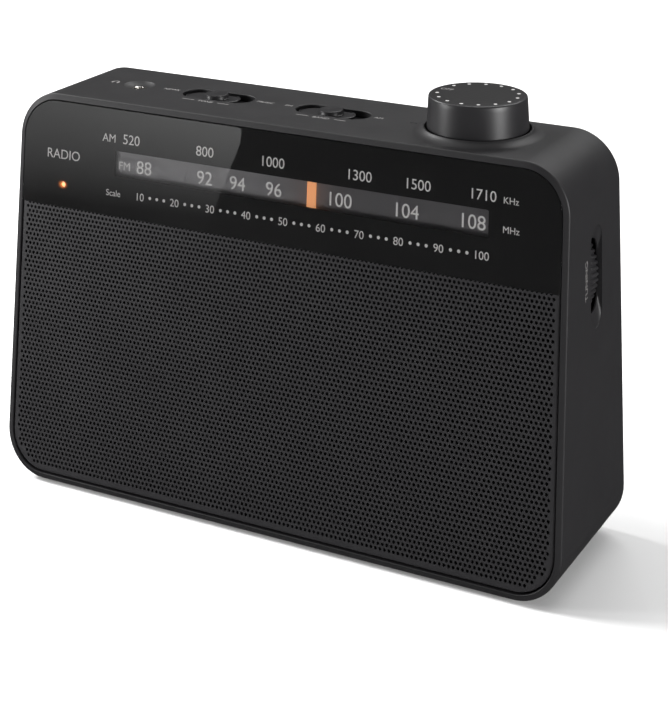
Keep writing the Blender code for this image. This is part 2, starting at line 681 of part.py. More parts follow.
def build_volume():
    x, y = KNOB_X, CONTROL_LINE
    bottom = HEIGHT + KNOB_LIFT
    top = bottom + KNOB_HEIGHT
    edge = 0.5 * MM
    bore = SHAFT_RADIUS + RUNNING
    turned(
        "volume_knob",
        [(0, top), (KNOB_TOP_RADIUS - edge, top), (KNOB_TOP_RADIUS, top - edge), (KNOB_RADIUS, bottom),
         (KNOB_RADIUS - KNOB_WALL, bottom), (KNOB_TOP_RADIUS - KNOB_WALL, top - KNOB_WALL),
         (bore + 2 * MM, top - KNOB_WALL), (bore + 2 * MM, bottom + 1.5 * MM), (bore, bottom + 1.5 * MM),
         (bore, top - KNOB_WALL), (0, top - KNOB_WALL)],
        (x, y, 0), material=KNOB_BLACK, steps=36,
    )
    body_low = BOARD_TOP + SEAM
    body_high = body_low + POT_HEIGHT
    bushing = bore + BUSHING_WALL
    turned(
        "volume_potentiometer",
        [(bushing, bottom), (bushing, body_high), (POT_RADIUS, body_high), (POT_RADIUS, body_low),
         (bore, body_low), (bore, bottom)],
        (x, y, 0), material=STEEL,
    )
    rod("volume_shaft", (x, y, body_low + MM), (x, y, top - KNOB_WALL - SEAM), SHAFT_RADIUS, STEEL,
        sides=16)


# ---------------------------------------------------------------- tone and band sliders


def build_slider(name, x):
    """A round-ended cap with a finger button, a flange under the top, and a stem that drives the switch."""
    y = CONTROL_LINE
    rest = x - SLIDER_TRAVEL / 2
    top = HEIGHT - SLIDER_RECESS
    flange_top = INNER_TOP - RUNNING
    flange_low = flange_top - SLIDER_FLANGE
    width = SLOT_WIDTH - 2 * RUNNING
    cap = slab(f"{name}_slider", [stadium(rest, y, SLIDER_LENGTH, width)], flange_low, top, KNOB_BLACK)
    flange = slab(f"{name}_flange",
                  [stadium(rest, y, SLOT_LENGTH + 2 * SLIDER_TRAVEL, SLOT_WIDTH + 3 * MM)],
                  flange_low, flange_top)
    button = rod(f"{name}_button", (rest + BUTTON_OFFSET, y, top - MM / 2),
                 (rest + BUTTON_OFFSET, y, top + BUTTON_HEIGHT),
                 BUTTON_RADIUS, end_radius=BUTTON_RADIUS - 0.7 * MM, sides=20)
    switch_top = BOARD_TOP + SEAM + SWITCH_SIZE[2]
    half = STEM / 2
    stem = box(f"{name}_stem", (rest - half, y - half, switch_top - STEM_IN_SWITCH),
               (rest + half, y + half, flange_low + MM / 2))
    join(cap, flange, button, stem)
    length, depth, height = SWITCH_SIZE
    switch = box(f"{name}_switch", (x - length / 2, y - depth / 2, BOARD_TOP + SEAM),
                 (x + length / 2, y + depth / 2, switch_top), STEEL)
    slot = (SLIDER_TRAVEL + STEM) / 2 + RUNNING
    cut(switch, box(f"{name}_switch_slot",
                    (x - slot, y - half - RUNNING, switch_top - STEM_IN_SWITCH - RUNNING),
                    (x + slot, y + half + RUNNING, switch_top + MM)))


# ---------------------------------------------------------------- board and headphone socket


def build_board():
    low = BOARD_TOP - BOARD_THICKNESS
    holes = [circle(x, CONTROL_LINE, SCREW_RADIUS + RUNNING, 8) for x in BOARD_SCREW_X]
    holes.append(circle(KNOB_X, CONTROL_LINE, SHAFT_RADIUS + MM, 12))
    slab("main_board", [rectangle(*BOARD_X, *BOARD_Y), *holes], low, BOARD_TOP, BOARD_GREEN)
    for number, x in enumerate(BOARD_SCREW_X, 1):
        head = low - SEAM
        screw = rod(f"board_screw_{number}", (x, CONTROL_LINE, head - 1.6 * MM), (x, CONTROL_LINE, head),
                    SCREW_HEAD, STEEL, sides=12)
        join(screw, rod("shank", (x, CONTROL_LINE, head - MM / 2), (x, CONTROL_LINE, BOARD_TOP + 6 * MM),
                        SCREW_RADIUS, sides=8))

    length, depth, height = JACK_BODY
    top = BOARD_TOP + SEAM + height
    jack = box("headphone_socket", (JACK_X - length / 2, CONTROL_LINE - depth / 2, BOARD_TOP + SEAM),
               (JACK_X + length / 2, CONTROL_LINE + depth / 2, top), INNER_GREY)
    bore_low = BOARD_TOP + 2 * MM
    cut(jack, rod("jack_bore", (JACK_X, CONTROL_LINE, bore_low), (JACK_X, CONTROL_LINE, HEIGHT), JACK_BORE,
                  sides=16))
    turned("jack_bushing",
           [(JACK_BARREL, HEIGHT - 1.0 * MM), (JACK_BARREL, top + SEAM), (JACK_BORE, top + SEAM),
            (JACK_BORE, HEIGHT - 1.0 * MM)],
           (JACK_X, CONTROL_LINE, 0), material=STEEL, steps=16)


# ---------------------------------------------------------------- tuning drive


def involute(radius_of_base, radius):
    """How far an involute has turned from its base circle when it reaches a radius."""
    angle = math.acos(min(1.0, radius_of_base / radius))
    return math.tan(angle) - angle


def gear_outline(teeth, start_angle):
    """Involute teeth with backlash; a tooth is centred on start_angle."""
    pitch = GEAR_MODULE * teeth / 2
    base = pitch * math.cos(PRESSURE_ANGLE)
    tip, root = pitch + 0.85 * GEAR_MODULE, pitch - 1.15 * GEAR_MODULE
    half_tooth = (math.pi * GEAR_MODULE / 2 - BACKLASH) / 2 / pitch
    flank_start = max(base, root)
    flank = []
    for step in range(4):
        radius = flank_start + (tip - flank_start) * step / 3
        flank.append((radius, half_tooth + involute(base, pitch) - involute(base, radius)))
    if root < base:
        flank.insert(0, (root, flank[0][1]))
    points = []
    for tooth in range(teeth):
        centre = start_angle + 2 * math.pi * tooth / teeth
        for radius, half in flank:
            points.append((radius * math.cos(centre - half), radius * math.sin(centre - half)))
        for radius, half in reversed(flank):
            points.append((radius * math.cos(centre + half), radius * math.sin(centre + half)))
    return points


def build_tuning():
    # Discs here lie in the XZ plane: local x is world x, local y is world z, local z is world -y.
    facing = (math.pi / 2, 0.0, 0.0)
    wheel_at = (WHEEL_X, 0.0, WHEEL_Z)
    wheel_front, wheel_back = WHEEL_Y - WHEEL_WIDTH / 2, WHEEL_Y + WHEEL_WIDTH / 2
    bore = AXLE_RADIUS + RUNNING
    ridges = []
    for step in range(2 * WHEEL_RIDGES):
        radius = WHEEL_RADIUS - (RIDGE_DEPTH if step % 2 else 0.0)
        angle = math.pi * step / WHEEL_RIDGES
        ridges.append((radius * math.cos(angle), radius * math.sin(angle)))
    wheel = slab("tuning_wheel", [ridges, circle(0, 0, bore, 16)], -wheel_back, -wheel_front, KNOB_BLACK,
                 rotation=facing, location=wheel_at)
    web = 2.0 * MM
    for side, low, high in (("front", wheel_front - MM, WHEEL_Y - web),
                            ("back", WHEEL_Y + web, wheel_back + MM)):
        cut(wheel, turned(f"wheel_{side}_dish",
                          [(WHEEL_RADIUS - 3 * MM, high), (WHEEL_RADIUS - 3 * MM, low),
                           (AXLE_RADIUS + 3.5 * MM, low),
                           (AXLE_RADIUS + 3.5 * MM, high)],
                          wheel_at, ALONG_Y))

    gear_back = wheel_front - SEAM
    gear_front = gear_back - GEAR_WIDTH
    pulley = slab("tuning_pulley", [gear_outline(PINION_TEETH, math.pi / PINION_TEETH)],
                  -gear_back, -gear_front, INNER_GREY, rotation=facing, location=wheel_at)
    low, high = CORD_PLANE - PULLEY_WIDTH / 2, CORD_PLANE + PULLEY_WIDTH / 2
    flange, groove = PULLEY_RADIUS + PULLEY_FLANGE, 0.8 * MM
    sheave = turned("sheave",
                    [(0, high), (flange, high), (flange, high - 0.9 * MM),
                     (PULLEY_RADIUS, CORD_PLANE + groove), (PULLEY_RADIUS, CORD_PLANE - groove),
                     (flange, low + 0.9 * MM), (flange, low), (0, low)],
                    wheel_at, ALONG_Y, steps=32)
    hub = rod("hub", (WHEEL_X, high - MM, WHEEL_Z), (WHEEL_X, gear_front + MM, WHEEL_Z), bore + 2 * MM)
    join(pulley, hub, sheave)
    cut(pulley, rod("pulley_bore", (WHEEL_X, low - MM, WHEEL_Z), (WHEEL_X, gear_back + MM, WHEEL_Z), bore,
                    sides=16))

    gear_x = WHEEL_X - GEAR_DISTANCE
    shaft_end = gear_front - MM
    plate_front = wheel_back + 2 * SEAM
    plate_back = plate_front + BRACKET_WALL
    gear = slab("capacitor_gear", [gear_outline(GEAR_TEETH, 0.0)],
                -gear_back + SEAM, -gear_front - SEAM, CORD_WHITE, rotation=facing,
                    location=(gear_x, 0.0, WHEEL_Z))
    join(gear, rod("capacitor_shaft", (gear_x, shaft_end, WHEEL_Z), (gear_x, plate_back + 3 * MM, WHEEL_Z),
                   CAP_SHAFT_RADIUS, sides=12))

    side, depth = CAPACITOR
    capacitor_front = plate_back + SEAM
    capacitor = box("tuning_capacitor", (gear_x - side / 2, capacitor_front, WHEEL_Z - side / 2),
                    (gear_x + side / 2, capacitor_front + depth, WHEEL_Z + side / 2), INNER_GREY)
    cut(capacitor, rod("capacitor_bore", (gear_x, capacitor_front - MM, WHEEL_Z),
                       (gear_x, capacitor_front + 4 * MM, WHEEL_Z),
                       CAP_SHAFT_RADIUS + RUNNING, sides=12))

    gear_reach = GEAR_MODULE * GEAR_TEETH / 2 + 2 * MM
    left = gear_x - gear_reach - BRACKET_WALL - MM
    right = WIDTH / 2 - WALL - 3 * MM
    low, high = WHEEL_Z - WHEEL_RADIUS - 4 * MM, BOARD_TOP - BOARD_THICKNESS - 2 * MM
    outline = rectangle(left, right, low, high)
    frame_back = front_y(high) + FRAME_OFFSET + FRAME_THICKNESS + 2 * SEAM
    bracket = slab("tuning_bracket", [outline, circle(gear_x, WHEEL_Z, CAP_SHAFT_RADIUS + RUNNING, 12)],
                   -plate_back, -plate_front, STEEL, rotation=facing)
    leg_low, leg_high = WHEEL_Z - 4 * MM, WHEEL_Z + 10 * MM
    leg = box("bracket_leg", (left, frame_back, leg_low),
              (left + BRACKET_WALL, plate_front + MM / 2, leg_high))
    shelf = box("bracket_shelf", (left + 8 * MM, frame_back, low),
                (right, plate_front + MM / 2, low + BRACKET_WALL))
    axle = rod("axle_stub", (WHEEL_X, low_end_of_axle(), WHEEL_Z), (WHEEL_X, plate_front + MM / 2, WHEEL_Z),
               AXLE_RADIUS, sides=16)
    join(bracket, leg, shelf, axle)

    build_cord_drive()


def low_end_of_axle():
    return CORD_PLANE - PULLEY_WIDTH / 2 - 1.5 * MM


def cord_line_z():
    """Height of the cord's upper run, which is level."""
    return WHEEL_Z + PULLEY_RADIUS + CORD_RADIUS + SEAM


def idler_z():
    return cord_line_z() - IDLER_RADIUS - CORD_RADIUS - SEAM


def cord_path():
    """The dial cord's closed line: round the pulley, along the top, round the idler and back."""
    big, small = PULLEY_RADIUS + CORD_RADIUS + SEAM, IDLER_RADIUS + CORD_RADIUS + SEAM
    span = Vector((IDLER_X - WHEEL_X, idler_z() - WHEEL_Z))
    heading = math.atan2(span.y, span.x)
    spread = math.acos((big - small) / span.length)
    points = []
    for (x, z), radius, first, last, steps in (
        ((WHEEL_X, WHEEL_Z), big, heading + spread - 2 * math.pi, heading - spread, 22),
        ((IDLER_X, idler_z()), small, heading - spread, heading + spread, 10),
    ):
        for step in range(steps + 1):
            angle = first + (last - first) * step / steps
            points.append((x + radius * math.cos(angle), z + radius * math.sin(angle)))
    return points


def build_cord_drive():
    curve = bpy.data.curves.new("dial_cord", "CURVE")
    curve.dimensions = "3D"
    curve.bevel_depth = CORD_RADIUS
    curve.bevel_resolution = 1
    spline = curve.splines.new("POLY")
    path = cord_path()
    spline.points.add(len(path) - 1)
    for point, (x, z) in zip(spline.points, path):
        point.co = (x, CORD_PLANE, z, 1.0)
    spline.use_cyclic_u = True
    cord = bpy.data.objects.new("dial_cord", curve)
    cord.parent = BODY
    curve.materials.append(CORD_WHITE)
    PARTS.objects.link(cord)

    z = idler_z()
    groove, flange = 0.8 * MM, IDLER_RADIUS + PULLEY_FLANGE
    low, high = CORD_PLANE - PULLEY_WIDTH / 2, CORD_PLANE + PULLEY_WIDTH / 2
    turned("cord_idler",
           [(flange, high), (flange, high - 0.9 * MM), (IDLER_RADIUS, CORD_PLANE + groove),
            (IDLER_RADIUS, CORD_PLANE - groove),
            (flange, low + 0.9 * MM), (flange, low), (IDLER_BORE, low), (IDLER_BORE, high)],
           (IDLER_X, 0.0, z), ALONG_Y, CORD_WHITE, steps=20)

    build_pointer()


def build_pointer():
    """A blade in front of the dial plate, an arm that passes under the plate, and a carriage on the cord."""
    half = POINTER_WIDTH / 2
    left, right = POINTER_X - half, POINTER_X + half
    blade_top = -LENS_THICKNESS - RUNNING
    blade_low = blade_top - POINTER_THICKNESS
    arm_top = STRIP_BOTTOM - ARM_DROP
    foot = arm_top - ARM_HEIGHT
    cord_z = cord_line_z()
    carriage_front = CORD_PLANE - PULLEY_WIDTH / 2 - 2.5 * MM
    riser_back = -(carriage_front + 1.8 * MM - front_y(cord_z))
    pointer = box("dial_pointer", (left, foot, blade_low), (right, STRIP_TOP + 0.5 * MM, blade_top),
                  POINTER_ORANGE, FRONT)
    arm = box("pointer_arm", (left, foot, riser_back), (right, arm_top, blade_low + POINTER_THICKNESS / 2),
              datum=FRONT)
    riser = box("pointer_riser", (left, foot, riser_back), (right, arm_top + 7 * MM, riser_back + 1.8 * MM),
                datum=FRONT)
    carriage = box("pointer_carriage", (right - CARRIAGE_LENGTH, carriage_front, cord_z),
                   (right, CORD_PLANE + 2.4 * MM, cord_z + 3.4 * MM))
    join(pointer, arm, riser, carriage)
    cut(pointer, rod("cord_groove", (POINTER_X - 2 * CARRIAGE_LENGTH, CORD_PLANE, cord_z),
                     (POINTER_X + CARRIAGE_LENGTH, CORD_PLANE, cord_z),
                     CORD_RADIUS + RUNNING, sides=12))


# ---------------------------------------------------------------- battery box


def box_inside():
    """(low corner, high corner) of the space for the cells."""
    height = 4 * CELL_RADIUS + CELL_CLEARANCE
    rear = rear_y(BOX_FLOOR + height) - COVER_THICKNESS - 2 * SEAM
    low = (BOX_LEFT + BOX_WALL, rear - 2 * CELL_RADIUS - CELL_CLEARANCE, BOX_FLOOR)
    high = (low[0] + 2 * CELL_LENGTH + CONTACT_ROOM, rear, BOX_FLOOR + height)
    return Vector(low), Vector(high)


def build_battery_box():
    low, high = box_inside()
    wall = Vector((BOX_WALL,) * 3)
    tray = box("battery_box", low - wall, (high.x + BOX_WALL, high.y, high.z + BOX_WALL), INNER_GREY)
    cut(tray, box("cell_room", low, (high.x, high.y + MM, high.z)))
    y = (low.y + high.y) / 2
    rows = (low.z + CELL_RADIUS, high.z - CELL_RADIUS)
    half = CELL_RADIUS - 2 * SEAM
    left = (low.x + SEAM, low.x + SEAM + CONTACT_PLATE)
    right = (high.x - SEAM - CONTACT_PLATE, high.x - SEAM)
    bridge = box("battery_bridge", (left[0], y - half, rows[0] - half), (left[1], y + half, rows[1] + half),
                 STEEL)
    negative = box("battery_contact_negative", (right[0], y - half, rows[0] - half),
                   (right[1], y + half, rows[0] + half), STEEL)
    box("battery_contact_positive", (right[0], y - half, rows[1] - half),
        (right[1], y + half, rows[1] + half), STEEL)
    length = CONTACT_ROOM / 2 - 2 * SEAM
    join(bridge, battery_spring(left[0] + CONTACT_PLATE / 2, length, y, rows[1]))
    join(negative, battery_spring(right[0] + CONTACT_PLATE / 2, -length, y, rows[0]))


def battery_spring(start, length, y, z):
    """A conical spring along x, closed into a mesh so that it can be joined to its plate."""
    curve = bpy.data.curves.new("battery_spring", "CURVE")
    curve.dimensions = "3D"
    curve.bevel_depth = SPRING_WIRE
    curve.bevel_resolution = 1
    curve.use_fill_caps = True
    spline = curve.splines.new("POLY")
    steps = 10 * SPRING_TURNS
    spline.points.add(steps)
    for step, point in enumerate(spline.points):
        share = step / steps
        angle = 2 * math.pi * SPRING_TURNS * share
        radius = SPRING_RADII[0] + (SPRING_RADII[1] - SPRING_RADII[0]) * share
        point.co = (start + length * share, y + radius * math.cos(angle), z + radius * math.sin(angle), 1.0)
    return add_object("battery_spring", welded_mesh(curve), None, BODY)


# ---------------------------------------------------------------- rear cover, door and inlet


def door_edges():
    """(left, right, bottom, top) of the door opening, in the rear datum."""
    low, high = box_inside()
    stretch = 1 / math.cos(REAR_ANGLE)
    return low.x, high.x, low.z * stretch, high.z * stretch


def build_rear():
    inset = WALL + SEAM
    cover = slab("rear_cover", [case_outline(inset, 1 / math.cos(REAR_ANGLE))], 0.0, COVER_THICKNESS,
                 CASE_BLACK, REAR)
    left, right, bottom, top = door_edges()
    through = (-MM, COVER_THICKNESS + MM)
    cut(cover, slab("door_opening", [rectangle(left, right, bottom, top)], *through, datum=REAR))
    pin_y, pin_z = bottom + SEAM + COVER_THICKNESS / 2, COVER_THICKNESS / 2
    cut(cover, rod("door_pin_bore", (left - PIN_END - SEAM, pin_y, pin_z),
                   (right + PIN_END + SEAM, pin_y, pin_z),
                   DOOR_PIN_RADIUS + RUNNING, datum=REAR, sides=10))

    reach_x, reach_z = INLET_SIZE[0] / 2 + SEAM, INLET_SIZE[1] / 2 + SEAM
    inlet_x, inlet_z = INLET_AT
    cut(cover, slab("inlet_opening", [stadium(inlet_x, inlet_z, 2 * reach_x, 2 * reach_z)], *through,
                    datum=REAR))

    start, end = -WIDTH / 2 - MM, AERIAL_PIVOT_X + BRACKET_GAP
    channel = rod("aerial_channel", (start, *AERIAL_AT), (end, *AERIAL_AT), channel_radius(), sides=20)
    cut(cover, channel)
    cut(bpy.data.objects["cabinet"], channel)

    for number, (x, z) in enumerate(corner_posts(), 1):
        slope_z = z / math.cos(REAR_ANGLE)
        cut(cover, rod(f"cover_hole_{number}", (x, slope_z, -MM), (x, slope_z, COVER_THICKNESS + MM),
                       SCREW_RADIUS + RUNNING, datum=REAR, sides=12))
        cut(cover, rod(f"cover_sink_{number}", (x, slope_z, -MM), (x, slope_z, 1.2 * MM),
                       SCREW_HEAD + RUNNING, datum=REAR, sides=16))
        head = rod(f"cover_screw_{number}", (x, slope_z, 0.2 * MM), (x, slope_z, 1.2 * MM - SEAM / 2),
                   SCREW_HEAD, STEEL, REAR, sides=16)
        join(head, rod("shank", (x, slope_z, 0.6 * MM),
                       (x, slope_z, COVER_THICKNESS + SCREW_LENGTH - 3 * MM), SCREW_RADIUS, datum=REAR,
                           sides=8))
        cut(head, box("drive_slot_a", (x - 1.6 * MM, slope_z - 0.35 * MM, -MM),
                      (x + 1.6 * MM, slope_z + 0.35 * MM, 0.7 * MM), datum=REAR))

    build_door(left, right, bottom, top)
    build_inlet()


def build_door(left, right, bottom, top):
    """The door's lower edge is round about its pin, so that it turns in its place."""
    radius = COVER_THICKNESS / 2
    pin_y = bottom + SEAM + radius
    turns = (math.pi * (1 + step / 10) for step in range(11))
    outline = [(radius * math.cos(a) - radius, pin_y + radius * math.sin(a)) for a in turns]
    outline += [(0.0, top - SEAM), (-COVER_THICKNESS, top - SEAM)]
    door = slab("battery_door", [outline], left + SEAM, right - SEAM, CASE_BLACK, REAR, ALONG_X)
    join(door, rod("door_pins", (left - PIN_END, pin_y, radius), (right + PIN_END, pin_y, radius),
                   DOOR_PIN_RADIUS,
                   datum=REAR, sides=10))
    middle = (left + right) / 2
    grip = stadium(middle, top - 6 * MM, 18 * MM, 5 * MM, 4)
    cut(door, slab("door_grip", [grip], -MM, 1.1 * MM, datum=REAR))


def build_inlet():
    x, z = INLET_AT
    length, width = INLET_SIZE
    outer = stadium(x, z, length, width)
    inlet = slab("mains_inlet", [outer], 0.6 * MM, INLET_DEPTH, INNER_GREY, REAR)
    flange = slab("inlet_flange", [stadium(x, z, length + 5 * MM, width + 5 * MM)],
                  COVER_THICKNESS + SEAM, COVER_THICKNESS + 2 * MM, datum=REAR)
    well = slab("inlet_well", [stadium(x, z, length - 2 * INLET_WALL, width - 2 * INLET_WALL)],
                -MM, INLET_DEPTH - 2 * MM, datum=REAR)
    join(inlet, flange)
    cut(inlet, well)
    for number, side in enumerate((-1, 1), 1):
        px = x + side * INLET_PIN_GAP / 2
        join(inlet, rod(f"inlet_pin_{number}", (px, z, 4 * MM), (px, z, INLET_DEPTH - MM), INLET_PIN,
                        datum=REAR, sides=10))


# ---------------------------------------------------------------- power supply and medium-wave aerial


def build_inside():
    low = Vector(TRANSFORMER_LOW)
    size = Vector(TRANSFORMER_SIZE)
    core = box("transformer_core", low, low + size, STEEL)
    side_x, side_z = size.x / 6, size.z / 6
    reach = low + size
    for number, (first, last) in enumerate(((1, 2), (4, 5))):
        cut(core, box(f"core_window_{number}", (low.x + first * side_x, low.y - MM, low.z + side_z),
                      (low.x + last * side_x, reach.y + MM, reach.z - side_z)))
    slab(
        "transformer_coil",
        [rectangle(low.x + side_x + SEAM, low.x + 5 * side_x - SEAM, low.y - COIL_STANDS_OUT,
                   reach.y + COIL_STANDS_OUT),
         rectangle(low.x + 2 * side_x - SEAM, low.x + 4 * side_x + SEAM, low.y - SEAM, reach.y + SEAM)],
        low.z + side_z + SEAM, reach.z - side_z - SEAM, COPPER,
    )

    y, z = FERRITE_AT
    rod("ferrite_rod", (FERRITE_X[0], y, z), (FERRITE_X[1], y, z), FERRITE_RADIUS, FERRITE, sides=16)
    turned("ferrite_coil",
           [(FERRITE_RADIUS + 1.6 * MM, FERRITE_COIL_X[1]), (FERRITE_RADIUS + 1.6 * MM, FERRITE_COIL_X[0]),
            (FERRITE_RADIUS + SEAM, FERRITE_COIL_X[0]), (FERRITE_RADIUS + SEAM, FERRITE_COIL_X[1])],
           (0.0, y, z), ALONG_X, COPPER, steps=16)
    top = BOARD_TOP - BOARD_THICKNESS - SEAM
    reach = FERRITE_RADIUS + HOLDER_WALL
    ends = (FERRITE_X[0] + 8 * MM, FERRITE_X[1] - 8 * MM)
    holder = box("ferrite_holder", (ends[0], y - HOLDER_WALL, top - HOLDER_WALL),
                 (ends[1], y + HOLDER_WALL, top), INNER_GREY)
    for x in ends:
        join(holder, box("holder_end", (x - HOLDER_WALL, y - reach, z - reach),
                         (x + HOLDER_WALL, y + reach, top)))
    cut(holder, rod("holder_bore", (ends[0] - reach, y, z), (ends[1] + reach, y, z), FERRITE_RADIUS + SEAM,
                    sides=16))


# ---------------------------------------------------------------- telescopic aerial


def build_aerial():
    y, z = AERIAL_AT
    pivot = AERIAL_PIVOT_X
    block_left = pivot + BRACKET_GAP
    length, depth, height = BRACKET_SIZE
    bracket = box("aerial_bracket", (block_left, y - depth / 2, z - height / 2),
                  (block_left + length, y + depth / 2, z + height / 2), STEEL)
    cut(bracket, rod("bracket_bore", (block_left - MM, y, z), (block_left + length + MM, y, z),
                     AERIAL_PIN + RUNNING, sides=16))
    cover = bpy.data.objects["rear_cover"]
    gap = SEAM
    cut(cover, box("bracket_seat", (block_left - gap, y - depth / 2 - gap, z - height / 2 - gap),
                   (block_left + length + gap, y + depth, z + height / 2 + gap)))

    for obj in (cover, bpy.data.objects["cabinet"]):
        cut(obj, rod(f"upright_groove_{obj.name}", (pivot, y, z), (pivot, y, HEIGHT + MM),
                     AERIAL_RADII[0][0] * MM + SEAM,
                     sides=20))

    base_start = pivot + EYE_RADIUS + 2 * RUNNING
    base = rod("aerial_base", (base_start, y, z), (block_left - RUNNING, y, z), CHEEK_RADIUS + 0.2 * MM,
               STEEL, sides=20)
    pin_end = block_left - RUNNING + AERIAL_PIN_LENGTH
    pin = rod("base_pin", (block_left - MM, y, z), (pin_end - 2 * MM, y, z), AERIAL_PIN, sides=16)
    cheeks = []
    for side in (-1, 1):
        inner, outer = z + side * (TONGUE + RUNNING), z + side * CHEEK_RADIUS
        reach = EYE_RADIUS - 0.9 * MM
        outline = rounded_outline(pivot - reach, base_start + reach, y - reach, y + reach, reach - FINE)
        cheeks.append(slab(f"cheek_{side}", [outline], min(inner, outer), max(inner, outer)))
    hinge_pin = rod("hinge_pin", (pivot, y, z - CHEEK_RADIUS + MM / 4),
                    (pivot, y, z + CHEEK_RADIUS - MM / 4), 0.8 * MM, sides=10)
    join(base, pin, *cheeks, hinge_pin)

    start = pivot - AERIAL_NECK
    for number, (outer, inner) in enumerate(AERIAL_RADII, 1):
        end = start - AERIAL_LENGTH - (number - 1) * AERIAL_STEP
        near = start - (number - 1) * AERIAL_NEST
        outer, inner = outer * MM, inner * MM
        section = rod(f"aerial_section_{number}", (near, y, z), (end, y, z), outer, STEEL, sides=16)
        if inner:
            cut(section, rod(f"section_bore_{number}", (near - 2 * MM if number == 1 else near + MM, y, z),
                             (end - MM, y, z), inner, sides=16))
        if number == 1:
            tongue = box("tongue", (near - MM / 2, y - EYE_RADIUS + MM, z - TONGUE),
                         (pivot, y + EYE_RADIUS - MM, z + TONGUE))
            eye = rod("eye", (pivot, y, z - TONGUE), (pivot, y, z + TONGUE), EYE_RADIUS, sides=20)
            join(section, tongue, eye)
            cut(section, rod("eye_bore", (pivot, y, z - 2 * TONGUE), (pivot, y, z + 2 * TONGUE),
                             0.8 * MM + RUNNING, sides=12))
    join(section, rod("aerial_tip", (end + MM, y, z), (end - 4 * MM, y, z), AERIAL_RADII[0][0] * MM,
                      sides=16))


# ---------------------------------------------------------------- build


def main():
    build_cabinet()
    build_feet()
    build_front()
    build_speaker()
    build_volume()
    for name, x in SLIDER_LINE.items():
        build_slider(name, x)
    build_board()
    build_tuning()
    build_battery_box()
    build_rear()
    build_inside()
    build_aerial()


main()
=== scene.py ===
import math

import bmesh
import bpy
from mathutils import Matrix, Vector
from mathutils.geometry import delaunay_2d_cdt


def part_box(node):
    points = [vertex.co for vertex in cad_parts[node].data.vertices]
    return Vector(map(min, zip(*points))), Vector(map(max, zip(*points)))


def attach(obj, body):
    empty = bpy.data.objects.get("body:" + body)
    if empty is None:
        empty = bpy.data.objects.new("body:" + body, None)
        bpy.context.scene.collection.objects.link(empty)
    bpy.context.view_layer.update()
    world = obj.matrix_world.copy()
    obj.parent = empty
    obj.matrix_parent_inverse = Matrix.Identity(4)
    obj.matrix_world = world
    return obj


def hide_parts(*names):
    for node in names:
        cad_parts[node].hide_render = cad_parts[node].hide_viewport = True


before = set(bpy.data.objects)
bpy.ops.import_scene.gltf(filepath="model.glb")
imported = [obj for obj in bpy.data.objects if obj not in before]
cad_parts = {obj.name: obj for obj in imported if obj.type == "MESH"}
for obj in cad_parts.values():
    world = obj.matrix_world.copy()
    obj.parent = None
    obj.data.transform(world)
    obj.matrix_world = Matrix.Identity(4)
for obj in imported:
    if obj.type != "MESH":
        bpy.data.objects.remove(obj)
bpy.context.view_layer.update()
print("radio: frame loaded,", len(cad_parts), "parts")

case = {
    "width": 210.0,
    "height": 133.5,
    "depth": 60.6,
    "frontLean": 9.6,  # how far back the top of the front stands
    "rearLean": 5.7,
    "corner": 15.7,
    "wall": 2.1,
    "rimStep": 0.7,
    "rearEdge": 1.6,
    "cornerSteps": 22,
    "collarHeight": 1.9,
    "grain": 0.3,  # grain pitch; the real one is half that and would not show
}
lowCorner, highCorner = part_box("cabinet")
lowestFront = case["frontLean"] * case["wall"] / case["height"] - case["rimStep"]
frontAngle = math.atan2(case["frontLean"], case["height"])
rearAngle = math.atan2(case["rearLean"], case["height"])
seam = 0.3

# placements: millimetres on the case, its front, its rear and its top, turned into the frame's metres
onCase = Matrix.Translation((
    (lowCorner.x + highCorner.x) / 2,
    lowCorner.y - lowestFront / 1000,
    lowCorner.z,
)) @ Matrix.Scale(0.001, 4)
onFront = onCase @ Matrix.Translation((0, -case["rimStep"], 0)) @ Matrix.Rotation(math.pi / 2 - frontAngle, 4, "X")
onRear = onCase @ Matrix.Translation((0, case["depth"], 0)) @ Matrix.Rotation(math.pi / 2 + rearAngle, 4, "X")
onTop = onCase @ Matrix.Translation((0, 0, case["height"]))
facingRight = Matrix.Rotation(math.pi / 2, 4, "Y")


def rearY(z):
    return case["depth"] - case["rearLean"] * z / case["height"]


# ---- materials


def hexColour(code):
    channels = [int(code[i:i + 2], 16) / 255 for i in (1, 3, 5)]
    return tuple(c / 12.92 if c <= 0.04045 else ((c + 0.055) / 1.055) ** 2.4 for c in channels) + (1.0,)


def addNode(tree, kind, sockets=None, **settings):
    node = tree.nodes.new(kind)
    for key, value in settings.items():
        setattr(node, key, value)
    for key, value in (sockets or {}).items():
        if isinstance(value, bpy.types.NodeSocket):
            tree.links.new(value, node.inputs[key])
        else:
            node.inputs[key].default_value = value
    return node


def newMaterial(name, colour, roughness, metallic=0.0, **sockets):
    material = bpy.data.materials.new(name)
    material.use_nodes = True
    shader = material.node_tree.nodes["Principled BSDF"]
    shader.inputs["Base Color"].default_value = hexColour(colour)
    shader.inputs["Roughness"].default_value = roughness
    shader.inputs["Metallic"].default_value = metallic
    for key, value in sockets.items():
        shader.inputs[key.replace("_", " ")].default_value = value
    return material, material.node_tree, shader


